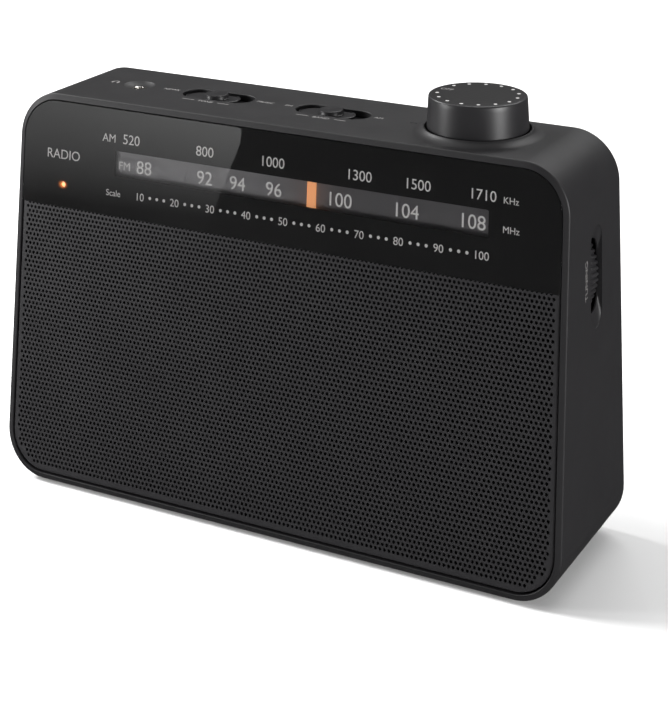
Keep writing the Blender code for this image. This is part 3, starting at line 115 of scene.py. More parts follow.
def addGrain(tree, shader, pitch, depth, roughLow, roughHigh, detail=3.0):
    # a fine random relief, pitch and depth in millimetres, that also breaks up the gloss
    place = addNode(tree, "ShaderNodeTexCoord").outputs["Object"]
    noise = addNode(tree, "ShaderNodeTexNoise", {"Vector": place, "Scale": 1000 / pitch, "Detail": detail})
    bump = addNode(tree, "ShaderNodeBump",
                   {"Height": noise.outputs["Fac"], "Distance": depth / 1000, "Strength": 1.0})
    tree.links.new(bump.outputs["Normal"], shader.inputs["Normal"])
    patches = addNode(tree, "ShaderNodeTexNoise", {"Vector": place, "Scale": 60.0, "Detail": 4.0})
    gloss = addNode(tree, "ShaderNodeMapRange", {
        "Value": patches.outputs["Fac"], "From Min": 0.3, "From Max": 0.7, "To Min": roughLow, "To Max": roughHigh,
    })
    tree.links.new(gloss.outputs["Result"], shader.inputs["Roughness"])
    return place, bump


def makeMaterials():
    made = {}
    # moulded ABS with a spark-eroded grain: dark, satin, with a fine even sparkle that hides sink marks
    material, tree, shader = newMaterial("mouldedAbsBlack", "#212022", 0.5, IOR=1.54)
    addGrain(tree, shader, case["grain"], 0.03, 0.46, 0.54)
    made["case"] = material

    # powder-coated perforated steel: darker and smoother than the case, with a slight orange peel
    material, tree, shader = newMaterial("powderCoatedSteelBlack", "#2e2d2f", 0.4, IOR=1.5)
    addGrain(tree, shader, 0.8, 0.01, 0.34, 0.42)
    made["grille"] = material

    # cast acrylic, clear: no colour of its own, a sharp reflection on top
    material = bpy.data.materials.new("castAcrylicClear")
    material.use_nodes = True
    tree = material.node_tree
    tree.nodes.clear()
    edge = addNode(tree, "ShaderNodeFresnel", {"IOR": 1.49})
    through = addNode(tree, "ShaderNodeBsdfTransparent", {"Color": (0.97, 0.97, 0.97, 1.0)})
    shine = addNode(tree, "ShaderNodeBsdfGlossy", {"Roughness": 0.015})
    mixed = addNode(tree, "ShaderNodeMixShader", {0: edge.outputs[0], 1: through.outputs[0], 2: shine.outputs[0]})
    addNode(tree, "ShaderNodeOutputMaterial", {"Surface": mixed.outputs[0]})
    made["clear"] = material

    # screen-printed black behind the acrylic: deep and even, no gloss of its own
    material, tree, shader = newMaterial("screenPrintBlack", "#2b2a2b", 0.6, IOR=1.49)
    addGrain(tree, shader, 0.4, 0.002, 0.55, 0.65)
    made["mask"] = material

    # screen-printed white ink: slightly grey where the ink is thin; its emission (glow) is painted light that makes
    # the ink read brighter
    for name, colour, thinned, glow in (
        ("ink", "#d4d2d1", "#bfbdbc", 0.36), ("inkDim", "#b3b1b0", "#969493", 0.14),
        ("inkFaint", "#7d7b7a", "#6a6867", 0.0),
    ):
        material, tree, shader = newMaterial("screenPrintWhite_" + name, colour, 0.5)
        place = addNode(tree, "ShaderNodeTexCoord").outputs["Object"]
        thin = addNode(tree, "ShaderNodeTexNoise", {"Vector": place, "Scale": 1500.0, "Detail": 2.0})
        fade = addNode(tree, "ShaderNodeMix", {
            "Factor": thin.outputs["Fac"], "A": hexColour(colour), "B": hexColour(thinned),
        }, data_type="RGBA")
        tree.links.new(fade.outputs[2], shader.inputs["Base Color"])
        # painted light: an emission that brightens the ink beyond what the lamps give
        shader.inputs["Emission Color"].default_value = hexColour(colour)
        shader.inputs["Emission Strength"].default_value = glow
        made[name] = material

    # satin grey print of the dial strip; its base colour is painted lighter towards the left end, painted light
    # standing for the lamp at that end
    material, tree, shader = newMaterial("screenPrintGreyPaintedLight", "#828083", 0.45, IOR=1.49)
    place, _ = addGrain(tree, shader, 0.5, 0.003, 0.4, 0.5)
    split = addNode(tree, "ShaderNodeSeparateXYZ", {"Vector": place})
    along = addNode(tree, "ShaderNodeMapRange", {"Value": split.outputs["X"], "From Min": -0.015, "From Max": 0.025},
                    interpolation_type="SMOOTHSTEP")
    # painted light: the base colour runs from lighter at the left end to darker at the right
    fade = addNode(tree, "ShaderNodeMix", {"Factor": along.outputs["Result"], "A": hexColour("#bbb9bc"),
                                           "B": hexColour("#8b888c")},
                   data_type="RGBA")
    tree.links.new(fade.outputs[2], shader.inputs["Base Color"])
    made["strip"] = material

    # smooth moulded ABS of knobs and buttons
    material, tree, shader = newMaterial("satinAbsBlack", "#282729", 0.42, IOR=1.54)
    addGrain(tree, shader, 0.25, 0.003, 0.36, 0.42)
    made["knob"] = material

    # turned face of the volume knob: rings from the tool, 0.35 mm apart so that they show
    material, tree, shader = newMaterial("turnedAbsBlack", "#1d1c1d", 0.42, IOR=1.54)
    place = addNode(tree, "ShaderNodeTexCoord").outputs["Object"]
    centre = onTop @ Vector((volume["x"], volume["y"], 0))
    moved = addNode(tree, "ShaderNodeMapping", {"Vector": place, "Location": tuple(-centre)})
    rings = addNode(tree, "ShaderNodeTexWave",
                    {"Vector": moved.outputs[0], "Scale": 1000 / 0.35 / 20, "Distortion": 0.0}, wave_type="RINGS",
                    rings_direction="Z")
    bump = addNode(tree, "ShaderNodeBump", {"Height": rings.outputs["Fac"], "Distance": 0.00002, "Strength": 0.6})
    tree.links.new(bump.outputs["Normal"], shader.inputs["Normal"])
    made["knobFace"] = material

    # orange acrylic, edge-lit by a lamp: it glows almost evenly
    material, tree, shader = newMaterial("edgeLitAcrylicOrange", "#e08a52", 0.3, IOR=1.49)
    place = addNode(tree, "ShaderNodeTexCoord").outputs["Object"]
    cloud = addNode(tree, "ShaderNodeTexNoise", {"Vector": place, "Scale": 300.0, "Detail": 1.0})
    glow = addNode(tree, "ShaderNodeMapRange", {"Value": cloud.outputs["Fac"], "To Min": 0.62, "To Max": 0.74})
    shader.inputs["Emission Color"].default_value = hexColour("#f4ad78")
    tree.links.new(glow.outputs["Result"], shader.inputs["Emission Strength"])
    made["pointer"] = material

    # diffused LED: a hot centre in an orange dome
    material, tree, shader = newMaterial("diffusedLedOrange", "#f0a070", 0.25, IOR=1.5)
    shader.inputs["Emission Color"].default_value = hexColour("#ffc9a0")
    facing = addNode(tree, "ShaderNodeLayerWeight", {"Blend": 0.5})
    glow = addNode(tree, "ShaderNodeMapRange", {"Value": facing.outputs["Facing"], "To Min": 1.3, "To Max": 0.5})
    tree.links.new(glow.outputs["Result"], shader.inputs["Emission Strength"])
    made["led"] = material

    # light of the lamp scattered in the acrylic around it: fades out over 2.5 mm
    material = bpy.data.materials.new("scatteredLampLight")
    material.use_nodes = True
    tree = material.node_tree
    tree.nodes.clear()
    place = addNode(tree, "ShaderNodeTexCoord").outputs["Generated"]
    centred = addNode(tree, "ShaderNodeVectorMath", {0: place, 1: (0.5, 0.5, 0.5)}, operation="DISTANCE")
    fall = addNode(tree, "ShaderNodeMapRange", {
        "Value": centred.outputs["Value"], "From Min": 0.1, "From Max": 0.5, "To Min": 0.8, "To Max": 0.0,
    })
    drop = addNode(tree, "ShaderNodeMath", {0: fall.outputs["Result"], 1: 2.2}, operation="POWER")
    through = addNode(tree, "ShaderNodeBsdfTransparent", {"Color": (1.0, 1.0, 1.0, 1.0)})
    glow = addNode(tree, "ShaderNodeEmission", {"Color": hexColour("#ff8a3c"), "Strength": drop.outputs[0]})
    both = addNode(tree, "ShaderNodeAddShader", {0: through.outputs[0], 1: glow.outputs[0]})
    addNode(tree, "ShaderNodeOutputMaterial", {"Surface": both.outputs[0]})
    made["halo"] = material

    # drawn and plated metals: nickel is bright, zinc is greyer and duller, brass and copper keep their hue
    for name, title, colour, low, high in (
        ("nickel", "nickelPlatedBrass", "#d6d3cf", 0.12, 0.2),
        ("chrome", "chromePlatedBrassTube", "#dcdde0", 0.05, 0.1),
        ("zinc", "zincPlatedSteel", "#a9abb0", 0.28, 0.4),
    ):
        material, tree, shader = newMaterial(title, colour, (low + high) / 2, 1.0)
        addGrain(tree, shader, 0.5, 0.0012, low, high)
        made[name] = material

    # enamelled copper winding: turns 0.3 mm apart around the core
    material, tree, shader = newMaterial("enamelledCopperWire", "#b4683a", 0.3, 1.0)
    place = addNode(tree, "ShaderNodeTexCoord").outputs["Object"]
    turns = addNode(tree, "ShaderNodeTexWave", {"Vector": place, "Scale": 1000 / 0.3 / 20, "Distortion": 0.2},
                    bands_direction="X")
    bump = addNode(tree, "ShaderNodeBump", {"Height": turns.outputs["Fac"], "Distance": 0.0001, "Strength": 0.8})
    tree.links.new(bump.outputs["Normal"], shader.inputs["Normal"])
    made["copper"] = material

    for name, title, colour, low, high, pitch, depth in (
        ("inner", "mouldedAbsGrey", "#4a4a4c", 0.5, 0.6, 0.4, 0.01),  # moulded inner parts: plain and matt
        ("nylon", "mouldedNylonNatural", "#d8d2c2", 0.45, 0.55, 0.6, 0.01),  # waxy, off-white
        ("shadeSheet", "paintedShadeSheetBlack", "#0b0b0b", 0.9, 0.97, 0.4, 0.03),  # near-black sheet behind the grille: painted shade for the dark inside of the case
        ("rubber", "mouldedRubberBlack", "#1b1b1b", 0.75, 0.9, 0.5, 0.02),  # dull and slightly dusty
        ("board", "solderMaskGreen", "#1d5a35", 0.3, 0.4, 1.5, 0.01),  # glossy lacquer over glass weave
        ("ferrite", "sinteredFerrite", "#38363a", 0.55, 0.7, 0.5, 0.02),  # dark stone-like grey
        ("paper", "pressedPulpBlack", "#2c2a28", 0.85, 0.95, 0.7, 0.05),  # felted, soft
        ("cord", "braidedPolyesterCord", "#c9c1ae", 0.75, 0.85, 0.3, 0.04),  # fine braid
    ):
        material, tree, shader = newMaterial(title, colour, (low + high) / 2)
        addGrain(tree, shader, pitch, depth, low, high)
        made[name] = material
    return made


# ---- mesh tools


def makePiece(name, mesh, body, material, nodes=(), sharp=35.0):
    mesh.name = name
    if sharp:
        mesh.shade_smooth()
        mesh.set_sharp_from_angle(angle=math.radians(sharp))
    mesh.materials.clear()
    mesh.materials.append(material)
    piece = bpy.data.objects.new(name, mesh)
    bpy.context.scene.collection.objects.link(piece)
    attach(piece, body)
    if nodes:
        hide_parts(*nodes)
    return piece


def meshOf(points, faces, place):
    mesh = bpy.data.meshes.new("raw")
    mesh.from_pydata([tuple(p) for p in points], [], [tuple(f) for f in faces])
    mesh.transform(place)
    shape = bmesh.new()
    shape.from_mesh(mesh)
    bmesh.ops.recalc_face_normals(shape, faces=shape.faces)
    shape.to_mesh(mesh)
    shape.free()
    return mesh


def loft(rings, place, around=False, caps=True):
    # skins rings of equal length; around joins the last ring to the first
    count = len(rings[0])
    points = [p for ring in rings for p in ring]
    faces = []
    spans = len(rings) if around else len(rings) - 1
    for row in range(spans):
        here, there = row * count, (row + 1) % len(rings) * count
        for i in range(count):
            j = (i + 1) % count
            faces.append((here + i, here + j, there + j, there + i))
    if caps and not around:
        faces.append(tuple(range(count)))
        faces.append(tuple(reversed(range(len(points) - count, len(points)))))
    return meshOf(points, faces, place)


def turned(profile, place, steps=96, around=False):
    # a turned shape from (radius, height); around closes a ring, otherwise the ends lie on the axis or get caps
    rings = [
        [(max(r, 0.001) * math.cos(2 * math.pi * i / steps), max(r, 0.001) * math.sin(2 * math.pi * i / steps), h)
         for i in range(steps)]
        for r, h in profile
    ]
    return loft(rings, place, around)


def roundedOutline(left, right, bottom, top, radius, steps):
    points = []
    for corner, (x, y) in enumerate(((right, top), (left, top), (left, bottom), (right, bottom))):
        cx = x - math.copysign(radius, x - (left + right) / 2)
        cy = y - math.copysign(radius, y - (bottom + top) / 2)
        for step in range(steps + 1):
            angle = (corner + step / steps) * math.pi / 2
            points.append((cx + radius * math.cos(angle), cy + radius * math.sin(angle)))
    return points


def stadium(x, y, length, width, steps=12):
    return roundedOutline(x - length / 2, x + length / 2, y - width / 2, y + width / 2,
                          min(length, width) / 2 - 0.001, steps)


def caseOutline(inset, slope=1.0, climb=0.0, steps=None):
    points = roundedOutline(-case["width"] / 2 + inset, case["width"] / 2 - inset, inset, case["height"] - inset,
                            case["corner"] - inset, steps or case["cornerSteps"])
    return [(x, z * slope + climb) for x, z in points]


def roundedSlab(outline, low, high, edge, place, steps=3):
    # a plate whose two rims are rounded by edge; outline(inset) gives the points
    rings = []
    for step in range(steps + 1):
        angle = step / steps * math.pi / 2
        rings.append([(x, y, low + edge * (1 - math.sin(angle))) for x, y in outline(edge * (1 - math.cos(angle)))])
    for step in range(steps + 1):
        angle = step / steps * math.pi / 2
        rings.append([(x, y, high - edge * (1 - math.cos(angle))) for x, y in outline(edge * (1 - math.sin(angle)))])
    return loft(rings, place)


def carve(piece, cutters):
    # applies each cutter mesh in turn, then drops it
    for mesh in cutters:
        tool = bpy.data.objects.new("tool", mesh)
        bpy.context.scene.collection.objects.link(tool)
        modifier = piece.modifiers.new("cut", "BOOLEAN")
        modifier.operation = "DIFFERENCE"
        modifier.object = tool
        applyModifiers(piece)
        bpy.data.objects.remove(tool)


def applyModifiers(piece):
    bpy.context.view_layer.update()
    graph = bpy.context.evaluated_depsgraph_get()
    mesh = bpy.data.meshes.new_from_object(piece.evaluated_get(graph))
    piece.modifiers.clear()
    piece.data = mesh


def softened(node, width, material, body, segments=2):
    # a copy of a machined part with its sharp edges broken
    shape = bmesh.new()
    shape.from_mesh(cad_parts[node].data)
    bmesh.ops.remove_doubles(shape, verts=shape.verts, dist=1e-6)
    bmesh.ops.dissolve_limit(shape, angle_limit=math.radians(1), verts=shape.verts, edges=shape.edges)
    mesh = bpy.data.meshes.new(node)
    shape.to_mesh(mesh)
    shape.free()
    piece = makePiece(node + "_finished", mesh, body, material, [node])
    bevel = piece.modifiers.new("edges", "BEVEL")
    bevel.width = width / 1000
    bevel.segments = segments
    bevel.limit_method = "ANGLE"
    bevel.angle_limit = math.radians(40)
    bevel.use_clamp_overlap = True
    bevel.harden_normals = False
    applyModifiers(piece)
    piece.data.shade_smooth()
    piece.data.set_sharp_from_angle(angle=math.radians(35))
    keepFlat(piece)
    return piece


def keepFlat(piece):
    # large flat faces stay flat beside small round ones
    weighted = piece.modifiers.new("flat", "WEIGHTED_NORMAL")
    weighted.keep_sharp = True
    weighted.weight = 100


def printed(name, words, place, material, body, lift=0.0, thickness=0.03):
    # words: (text, centre x, baseline, height, turn); one mesh of flat ink
    shape = bmesh.new()
    for text, x, baseline, height, turn in words:
        curve = bpy.data.curves.new("word", "FONT")
        curve.body = text
        curve.align_x = "CENTER"
        curve.size = 1.0
        holder = bpy.data.objects.new("word", curve)
        bpy.context.scene.collection.objects.link(holder)
        bpy.context.view_layer.update()
        graph = bpy.context.evaluated_depsgraph_get()
        flat = bpy.data.meshes.new_from_object(holder.evaluated_get(graph))
        bpy.data.objects.remove(holder)
        capital = 0.729  # height of a capital in this typeface at size 1
        scale = height / capital
        move = Matrix.Translation((x, baseline, lift)) @ Matrix.Rotation(turn, 4, "Z") @ Matrix.Scale(scale, 4)
        flat.transform(move)
        shape.from_mesh(flat)
        bpy.data.meshes.remove(flat)
    thicken(shape, thickness)
    return inkPiece(name, shape, place, material, body)


def thicken(shape, thickness):
    bmesh.ops.remove_doubles(shape, verts=shape.verts, dist=1e-4)
    made = bmesh.ops.extrude_face_region(shape, geom=shape.faces[:])
    raised = [v for v in made["geom"] if isinstance(v, bmesh.types.BMVert)]
    bmesh.ops.translate(shape, verts=raised, vec=(0, 0, thickness))
    bmesh.ops.recalc_face_normals(shape, faces=shape.faces)


def inkPiece(name, shape, place, material, body):
    mesh = bpy.data.meshes.new(name)
    shape.to_mesh(mesh)
    shape.free()
    mesh.transform(place)
    return makePiece(name, mesh, body, material, sharp=30.0)


def dots(name, spots, radius, place, material, body, lift=0.0, thickness=0.03, sides=20):
    shape = bmesh.new()
    for x, y in spots:
        bmesh.ops.create_circle(shape, cap_ends=True, segments=sides, radius=radius,
                                matrix=Matrix.Translation((x, y, lift)))
    thicken(shape, thickness)
    return inkPiece(name, shape, place, material, body)


# ---- pieces

volume = {"x": 63.2, "y": 33.3, "radius": 17.0, "topRadius": 16.5, "lift": 1.5, "height": 11.0, "collarInner": 17.75}
controls = {"line": 33.3, "tone": -37.0, "band": 9.0, "slot": (28.0, 11.4), "travel": 4.6, "capLength": 21.0,
            "recess": 0.55, "buttonRadius": 4.3, "buttonHeight": 1.4, "buttonOffset": 1.5, "stripLift": 0.01}
jack = {"x": -70.7, "dish": 6.0, "barrel": 3.0, "bore": 1.8}
wheel = {"x": 82.7, "y": 32.1, "z": 92.8, "radius": 22.0, "width": 8.4, "teeth": 72, "skew": 0.75,
         "slot": (24.0, 10.4), "scoop": (33.0, 1.6)}
dial = {"bottom": 94.7, "clear": 0.25, "thickness": 1.2, "strip": (-64.0, 77.9, 108.5, 117.1), "led": (-85.6, 102.5)}
aerial = {"y": 57.3, "z": 121.5, "bedLeft": -107.0, "bedLength": 188, "bedRadius": 3.8, "pivotX": 74.0,
          "wellRadius": 3.3, "wellHeight": 20}
perforation = {"pitchX": 1.606, "pitchS": 1.594, "radius": 0.6, "sides": 6, "sheet": 0.55, "border": 4.5,
               "lower": 0.4}

finishes = makeMaterials()
print("radio: materials made")


def buildCase():
    rings = []
    wall, edge = case["wall"], case["rearEdge"]
    front = ((wall, 5.0), (wall, -0.55), (wall - 0.15, -0.7), (0.5, -0.16), (0.2, 0.02), (0.05, 0.25), (0.0, 0.6))
    for inset, back in front:
        rings.append([(x, case["frontLean"] * z / case["height"] + back, z) for x, z in caseOutline(inset)])
    for step in range(6):
        angle = step / 5 * math.pi / 2
        inset, forward = edge * (1 - math.cos(angle)), edge * (1 - math.sin(angle))
        rings.append([(x, rearY(z) - forward, z) for x, z in caseOutline(inset)])
    for inset, forward in ((wall - 0.15, 0.0), (wall, 0.2), (wall, 4.0)):
        rings.append([(x, rearY(z) - forward, z) for x, z in caseOutline(inset)])
    shell = makePiece("case_shell", loft(rings, onCase, around=True), "case", finishes["case"],
                      ["cabinet"], sharp=0)
    carve(shell, caseCuts())
    shell.data.materials.clear()
    shell.data.materials.append(finishes["case"])
    shell.data.shade_smooth()
    shell.data.set_sharp_from_angle(angle=math.radians(38))
    keepFlat(shell)

    inner, top = volume["collarInner"], case["collarHeight"]
    lip = [(inner, -1.6), (inner, top - 0.25), (inner + 0.12, top - 0.06), (inner + 0.35, top),
           (inner + 0.65, top - 0.05), (inner + 0.85, top - 0.25)]
    skirt = [(inner + 0.95 + 3.6 * t, (top - 0.45) * (1 - t) ** 2.1 + 0.015) for t in (i / 9 for i in range(10))]
    below = [(inner + 4.6, -0.6), (inner + 2.0, -1.6)]
    collar = turned(lip + skirt + below, onTop @ Matrix.Translation((volume["x"], volume["y"], 0)), 128, around=True)
    makePiece("volume_collar", collar, "case", finishes["case"])


def flaredCutter(outline, place, depth, flare=0.35, steps=4):
    # a punch that leaves a rounded lip where it enters
    rings = [[(x, y, -depth) for x, y in outline(0.0)]]
    for step in range(steps + 1):
        angle = step / steps * math.pi / 2
        grow, h = flare * (1 - math.cos(angle)), -flare * (1 - math.sin(angle))
        rings.append([(x, y, h) for x, y in outline(-grow)])
    rings.append([(x, y, 1.0) for x, y in outline(-flare)])
    return loft(rings, place)


def caseCuts():
    cuts = []
    length, width = controls["slot"]
    for name in ("tone", "band"):
        cuts.append(flaredCutter(
            lambda inset, x=controls[name]: stadium(x, controls["line"], length - 2 * inset, width - 2 * inset),
            onTop, 3.0))
    dish = [(0.001, -4.0), (jack["barrel"] + 0.1, -4.0), (jack["barrel"] + 0.1, -1.25), (jack["barrel"] + 0.6, -1.15),
            (jack["dish"] - 0.9, -0.7), (jack["dish"] - 0.25, -0.12), (jack["dish"] + 0.1, 0.0),
            (jack["dish"] + 0.1, 1.0), (0.001, 1.0)]
    cuts.append(turned(dish, onTop @ Matrix.Translation((jack["x"], controls["line"], 0)), 64))
    hole = volume["collarInner"] - 0.05
    cuts.append(turned([(0.001, -3), (hole, -3), (hole, 3), (0.001, 3)],
                       onTop @ Matrix.Translation((volume["x"], volume["y"], 0)), 96))
    mark = {"left": 38.3, "right": 42.9, "half": 0.17, "deep": 0.35}
    outline = [(mark["left"], controls["line"] - mark["half"]), (mark["right"], controls["line"] - mark["half"]),
               (mark["right"], controls["line"] + mark["half"]), (mark["left"], controls["line"] + mark["half"])]
    cuts.append(loft([[(x, y, -mark["deep"]) for x, y in outline], [(x, y, 1.0) for x, y in outline]], onTop))

    side = onCase @ Matrix.Translation((case["width"] / 2, 0, 0)) @ facingRight  # local x is down, z is outwards
    height, width = wheel["slot"]
    slot = stadium(-wheel["z"], wheel["y"], height, width, 10)
    cuts.append(loft([[(x, y, h) for x, y in slot] for h in (-4.0, 1.0)], side))
    cuts.append(fingerScoop(side))

    # the bed in which the folded aerial lies, open at its left end, and the well above its pivot
    bed, bedLength, well, wellHeight = (aerial[key] for key in ("bedRadius", "bedLength", "wellRadius", "wellHeight"))
    channel = onCase @ Matrix.Translation((aerial["bedLeft"], aerial["y"], aerial["z"])) @ facingRight
    cuts.append(turned([(0.001, 0), (bed, 0), (bed, bedLength), (0.001, bedLength)], channel, 40))
    pivot = onCase @ Matrix.Translation((aerial["pivotX"], aerial["y"], aerial["z"]))
    cuts.append(turned([(0.001, 0), (well, 0), (well, wellHeight), (0.001, wellHeight)], pivot, 32))
    return cuts


def fingerScoop(side):
    # rounded ends, and ramps that run down to the slot
    length, deep = wheel["scoop"]
    height, width = wheel["slot"]
    rings = []
    for step in range(9):
        share = step / 8
        reach = length - (length - height) * share ** 1.6
        rings.append([(x, y, -deep * share) for x, y in stadium(-wheel["z"], wheel["y"], reach, width, 10)])
    rings.insert(0, [(x, y, 1.0) for x, y, h in rings[0]])
    return loft(rings, side)


def buildGrille():
    px, ps, radius = perforation["pitchX"], perforation["pitchS"], perforation["radius"]
    sides, sheet, d = perforation["sides"], perforation["sheet"], -perforation["lower"]
    topRow = dial["bottom"] - 0.05
    slope = math.hypot(case["height"], case["frontLean"]) / case["height"]
    limit = case["wall"] + perforation["border"] - 2.0

    def inside(x, s):
        reach = case["corner"] - limit
        dx = max(abs(x) - (case["width"] / 2 - limit - reach), 0)
        ds = max(limit + reach - s, 0)
        return math.hypot(dx, ds) < reach

    cells = []
    rows = int((topRow - limit) / ps) + 1
    for row in range(rows):
        s = topRow - row * ps
        for k in range(-160, 161):
            if (k + row) % 2 == 0 and inside(k * px / 2, s):
                cells.append((k, row))
    grid = {}
    points = []

    def corner(k, row):
        if (k, row) not in grid:
            grid[(k, row)] = len(points)
            points.append((k * px / 2, topRow + ps / 2 - row * ps, d))
        return grid[(k, row)]

    outer = [[corner(k - 1, r), corner(k - 1, r + 1), corner(k, r + 1), corner(k + 1, r + 1), corner(k + 1, r),
              corner(k, r)]
             for k, r in cells]
    outerAngles = [math.atan2(y * ps / 2, x * px / 2) % (2 * math.pi)
                   for x, y in ((-1, 1), (-1, -1), (0, -1), (1, -1), (1, 1), (0, 1))]
    gridCount = len(points)
    holeAngles = [math.pi / 2 + 2 * math.pi * i / sides for i in range(sides)]
    for k, r in cells:
        x, s = k * px / 2, topRow - r * ps
        points += [(x + radius * math.cos(a), s + radius * math.sin(a), d) for a in holeAngles]
    for k, r in cells:
        x, s = k * px / 2, topRow - r * ps
        points += [(x + radius * math.cos(a), s + radius * math.sin(a), d - sheet) for a in holeAngles]
    pattern = zipper(outerAngles, [a % (2 * math.pi) for a in holeAngles])
    faces = []
    bottomStart = gridCount + len(cells) * sides
    for number, ring in enumerate(outer):
        top, low = gridCount + number * sides, bottomStart + number * sides
        for triangle in pattern:
            faces.append(tuple(ring[i] if i < 6 else top + i - 6 for i in triangle))
        for i in range(sides):
            j = (i + 1) % sides
            faces.append((top + i, low + i, low + j, top + j))
    mesh = bpy.data.meshes.new("grille")
    mesh.from_pydata(points, [], faces)
    shape = bmesh.new()
    shape.from_mesh(mesh)
    bmesh.ops.recalc_face_normals(shape, faces=shape.faces)
    shape.verts.ensure_lookup_table()
    border = [e for e in shape.edges if len(e.link_faces) == 1 and all(v.index < gridCount for v in e.verts)]
    held = set(cells)

    def perforated(x, s):
        row = math.floor((topRow + ps / 2 - s) / ps)
        k = 2 * round((x / px * 2 - row) / 2) + row
        return (k, row) in held

    top = dial["bottom"] + 1.3
    roll = ((3.2, 0.0), (2.95, 0.05), (2.75, 0.18), (2.6, 0.38), (2.5, 0.65), (2.42, 1.0), (2.4, 3.0))
    rings = []
    for inset, drop in roll:
        outline = [(x, z) for x, z in caseOutline(inset, slope, 0.1) if z < top - 8]
        outline += [(case["width"] / 2 - inset, top), (-case["width"] / 2 + inset, top)]
        rings.append([shape.verts.new((x, z, d - drop)) for x, z in outline])
    count = len(rings[0])
    for ring, below in zip(rings, rings[1:]):
        for i in range(count):
            j = (i + 1) % count
            shape.faces.new((ring[i], ring[j], below[j], below[i]))
    edge = list({v for e in border for v in e.verts})
    spots = {v: number for number, v in enumerate(edge + rings[0])}
    joins = [tuple(spots[v] for v in e.verts) for e in border]
    joins += [(spots[rings[0][i]], spots[rings[0][(i + 1) % count]]) for i in range(count)]
    flat, _, triangles, origins, _, _ = delaunay_2d_cdt([v.co.xy for v in spots], joins, [], 1, 1e-5)
    corners = list(spots)
    for triangle in triangles:
        middle = sum((flat[i] for i in triangle), Vector((0, 0))) / 3
        if not perforated(*middle):
            shape.faces.new([corners[origins[i][0]] for i in triangle])
    bmesh.ops.recalc_face_normals(shape, faces=shape.faces)
    shape.to_mesh(mesh)
    shape.free()
    mesh.transform(onFront)
    piece = makePiece("perforated_grille", mesh, "case", finishes["grille"], ["grille"], sharp=50.0)
    print("radio: grille has", len(cells), "holes and", len(piece.data.polygons), "faces")

    # a near-black sheet behind the grille: painted shade, so that the holes read dark
    backing = [(x, min(z, dial["bottom"])) for x, z in caseOutline(3.2, slope, 0.2)]
    shadeSheet = loft([[(x, z, h) for x, z in backing] for h in (-2.3, -2.9)], onFront)
    makePiece("grille_shade_sheet", shadeSheet, "case", finishes["shadeSheet"])


def zipper(outerAngles, innerAngles):
    # triangles between two closed loops about one centre, by index; the inner loop counts on from the outer
    outer = sorted(range(len(outerAngles)), key=lambda i: outerAngles[i])
    inner = sorted(range(len(innerAngles)), key=lambda i: innerAngles[i])
    n, m = len(outer), len(inner)
    a = b = 0
    triangles = []
    while a < n or b < m:
        nextOuter = outerAngles[outer[(a + 1) % n]] + (2 * math.pi if a + 1 >= n else 0)
        nextInner = innerAngles[inner[(b + 1) % m]] + (2 * math.pi if b + 1 >= m else 0)
        here, there = outer[a % n], len(outerAngles) + inner[b % m]
        if b >= m or (a < n and nextOuter <= nextInner):
            triangles.append((here, outer[(a + 1) % n], there))
            a += 1
        else:
            triangles.append((here, len(outerAngles) + inner[(b + 1) % m], there))
            b += 1
    return triangles


def lensOutline(inset):
    slope = math.hypot(case["height"], case["frontLean"]) / case["height"]
    edge = case["wall"] + seam + inset
    upper = [(x, z) for x, z in caseOutline(edge, slope, 0.05) if z > dial["bottom"] + 10]
    half = case["width"] / 2 - edge
    return upper + [(-half, dial["bottom"] + inset), (half, dial["bottom"] + inset)]


def buildDial():
    clear = dial["clear"]
    sheet = roundedSlab(lensOutline, -clear, 0.0, 0.12, onFront)
    makePiece("dial_clear_face", sheet, "case", finishes["clear"], ["dial_lens"])
    backing = loft([[(x, y, h) for x, y in lensOutline(0.05)] for h in (-clear - 0.02, -dial["thickness"])], onFront)
    mask = makePiece("dial_black_print", backing, "case", finishes["mask"])
    left, right, bottom, top = dial["strip"]
    window = loft([[(x, y, h) for x, y in roundedOutline(left, right, bottom, top, 0.5, 4)] for h in (-3.0, 1.0)],
                  onFront)
    x, s = dial["led"]
    lamp = turned([(0.001, -3), (1.1, -3), (1.1, 1), (0.001, 1)], onFront @ Matrix.Translation((x, s, 0)), 32)
    carve(mask, [window, lamp])
    mask.data.materials.clear()
    mask.data.materials.append(finishes["mask"])
    mask.data.shade_flat()

    lift = -clear - 0.015
    am = [("520", -57.4), ("800", -27.4), ("1000", -0.9), ("1300", 31.7), ("1500", 52.9), ("1710", 75.7)]
    fm = [("88", -51.7), ("92", -27.1), ("94", -14.1), ("96", 0.0), ("100", 24.7), ("104", 49.0), ("108", 72.3)]
    words = [(t, x, 119.9, 3.5, 0) for t, x in am] + [(t, x, 110.5, 4.7, 0) for t, x in fm]
    words += [("AM", -66.6, 119.9, 2.9, 0), ("KHz", 85.4, 119.9, 2.2, 0), ("FM", -59.8, 111.0, 2.9, 0),
              ("MHz", 85.6, 110.8, 2.2, 0)]
    words += [("Scale", -64.1, 101.5, 2.2, 0), ("RADIO", -85.8, 111.4, 3.4, 0)]
    step, first = 14.24, -53.1
    words += [(str(10 * (i + 1)), first + step * i if i < 9 else 75.7, 101.4, 2.7, 0) for i in range(10)]
    printed("dial_figures", words, onFront, finishes["ink"], "case", lift)
    spots = [(first + step * (i + 0.5) + 2.86 * k, 102.8) for i in range(9) for k in (-1, 0, 1)]
    dots("dial_dots", spots, 0.55, onFront, finishes["ink"], "case", lift)

    dome = [(0.001, -3.2), (1.45, -3.2), (1.45, -1.9), (1.0, -1.5), (0.9, -0.9), (0.6, -0.55), (0.001, -0.4)]
    lamp = turned(dome, onFront @ Matrix.Translation((x, s, 0)), 40)
    makePiece("power_led_dome", lamp, "case", finishes["led"], ["power_led"])
    halo = turned([(0.001, lift), (2.6, lift), (2.6, lift + 0.01), (0.001, lift + 0.01)],
                  onFront @ Matrix.Translation((x, s, 0)), 48)
    makePiece("power_led_halo", halo, "case", finishes["halo"])


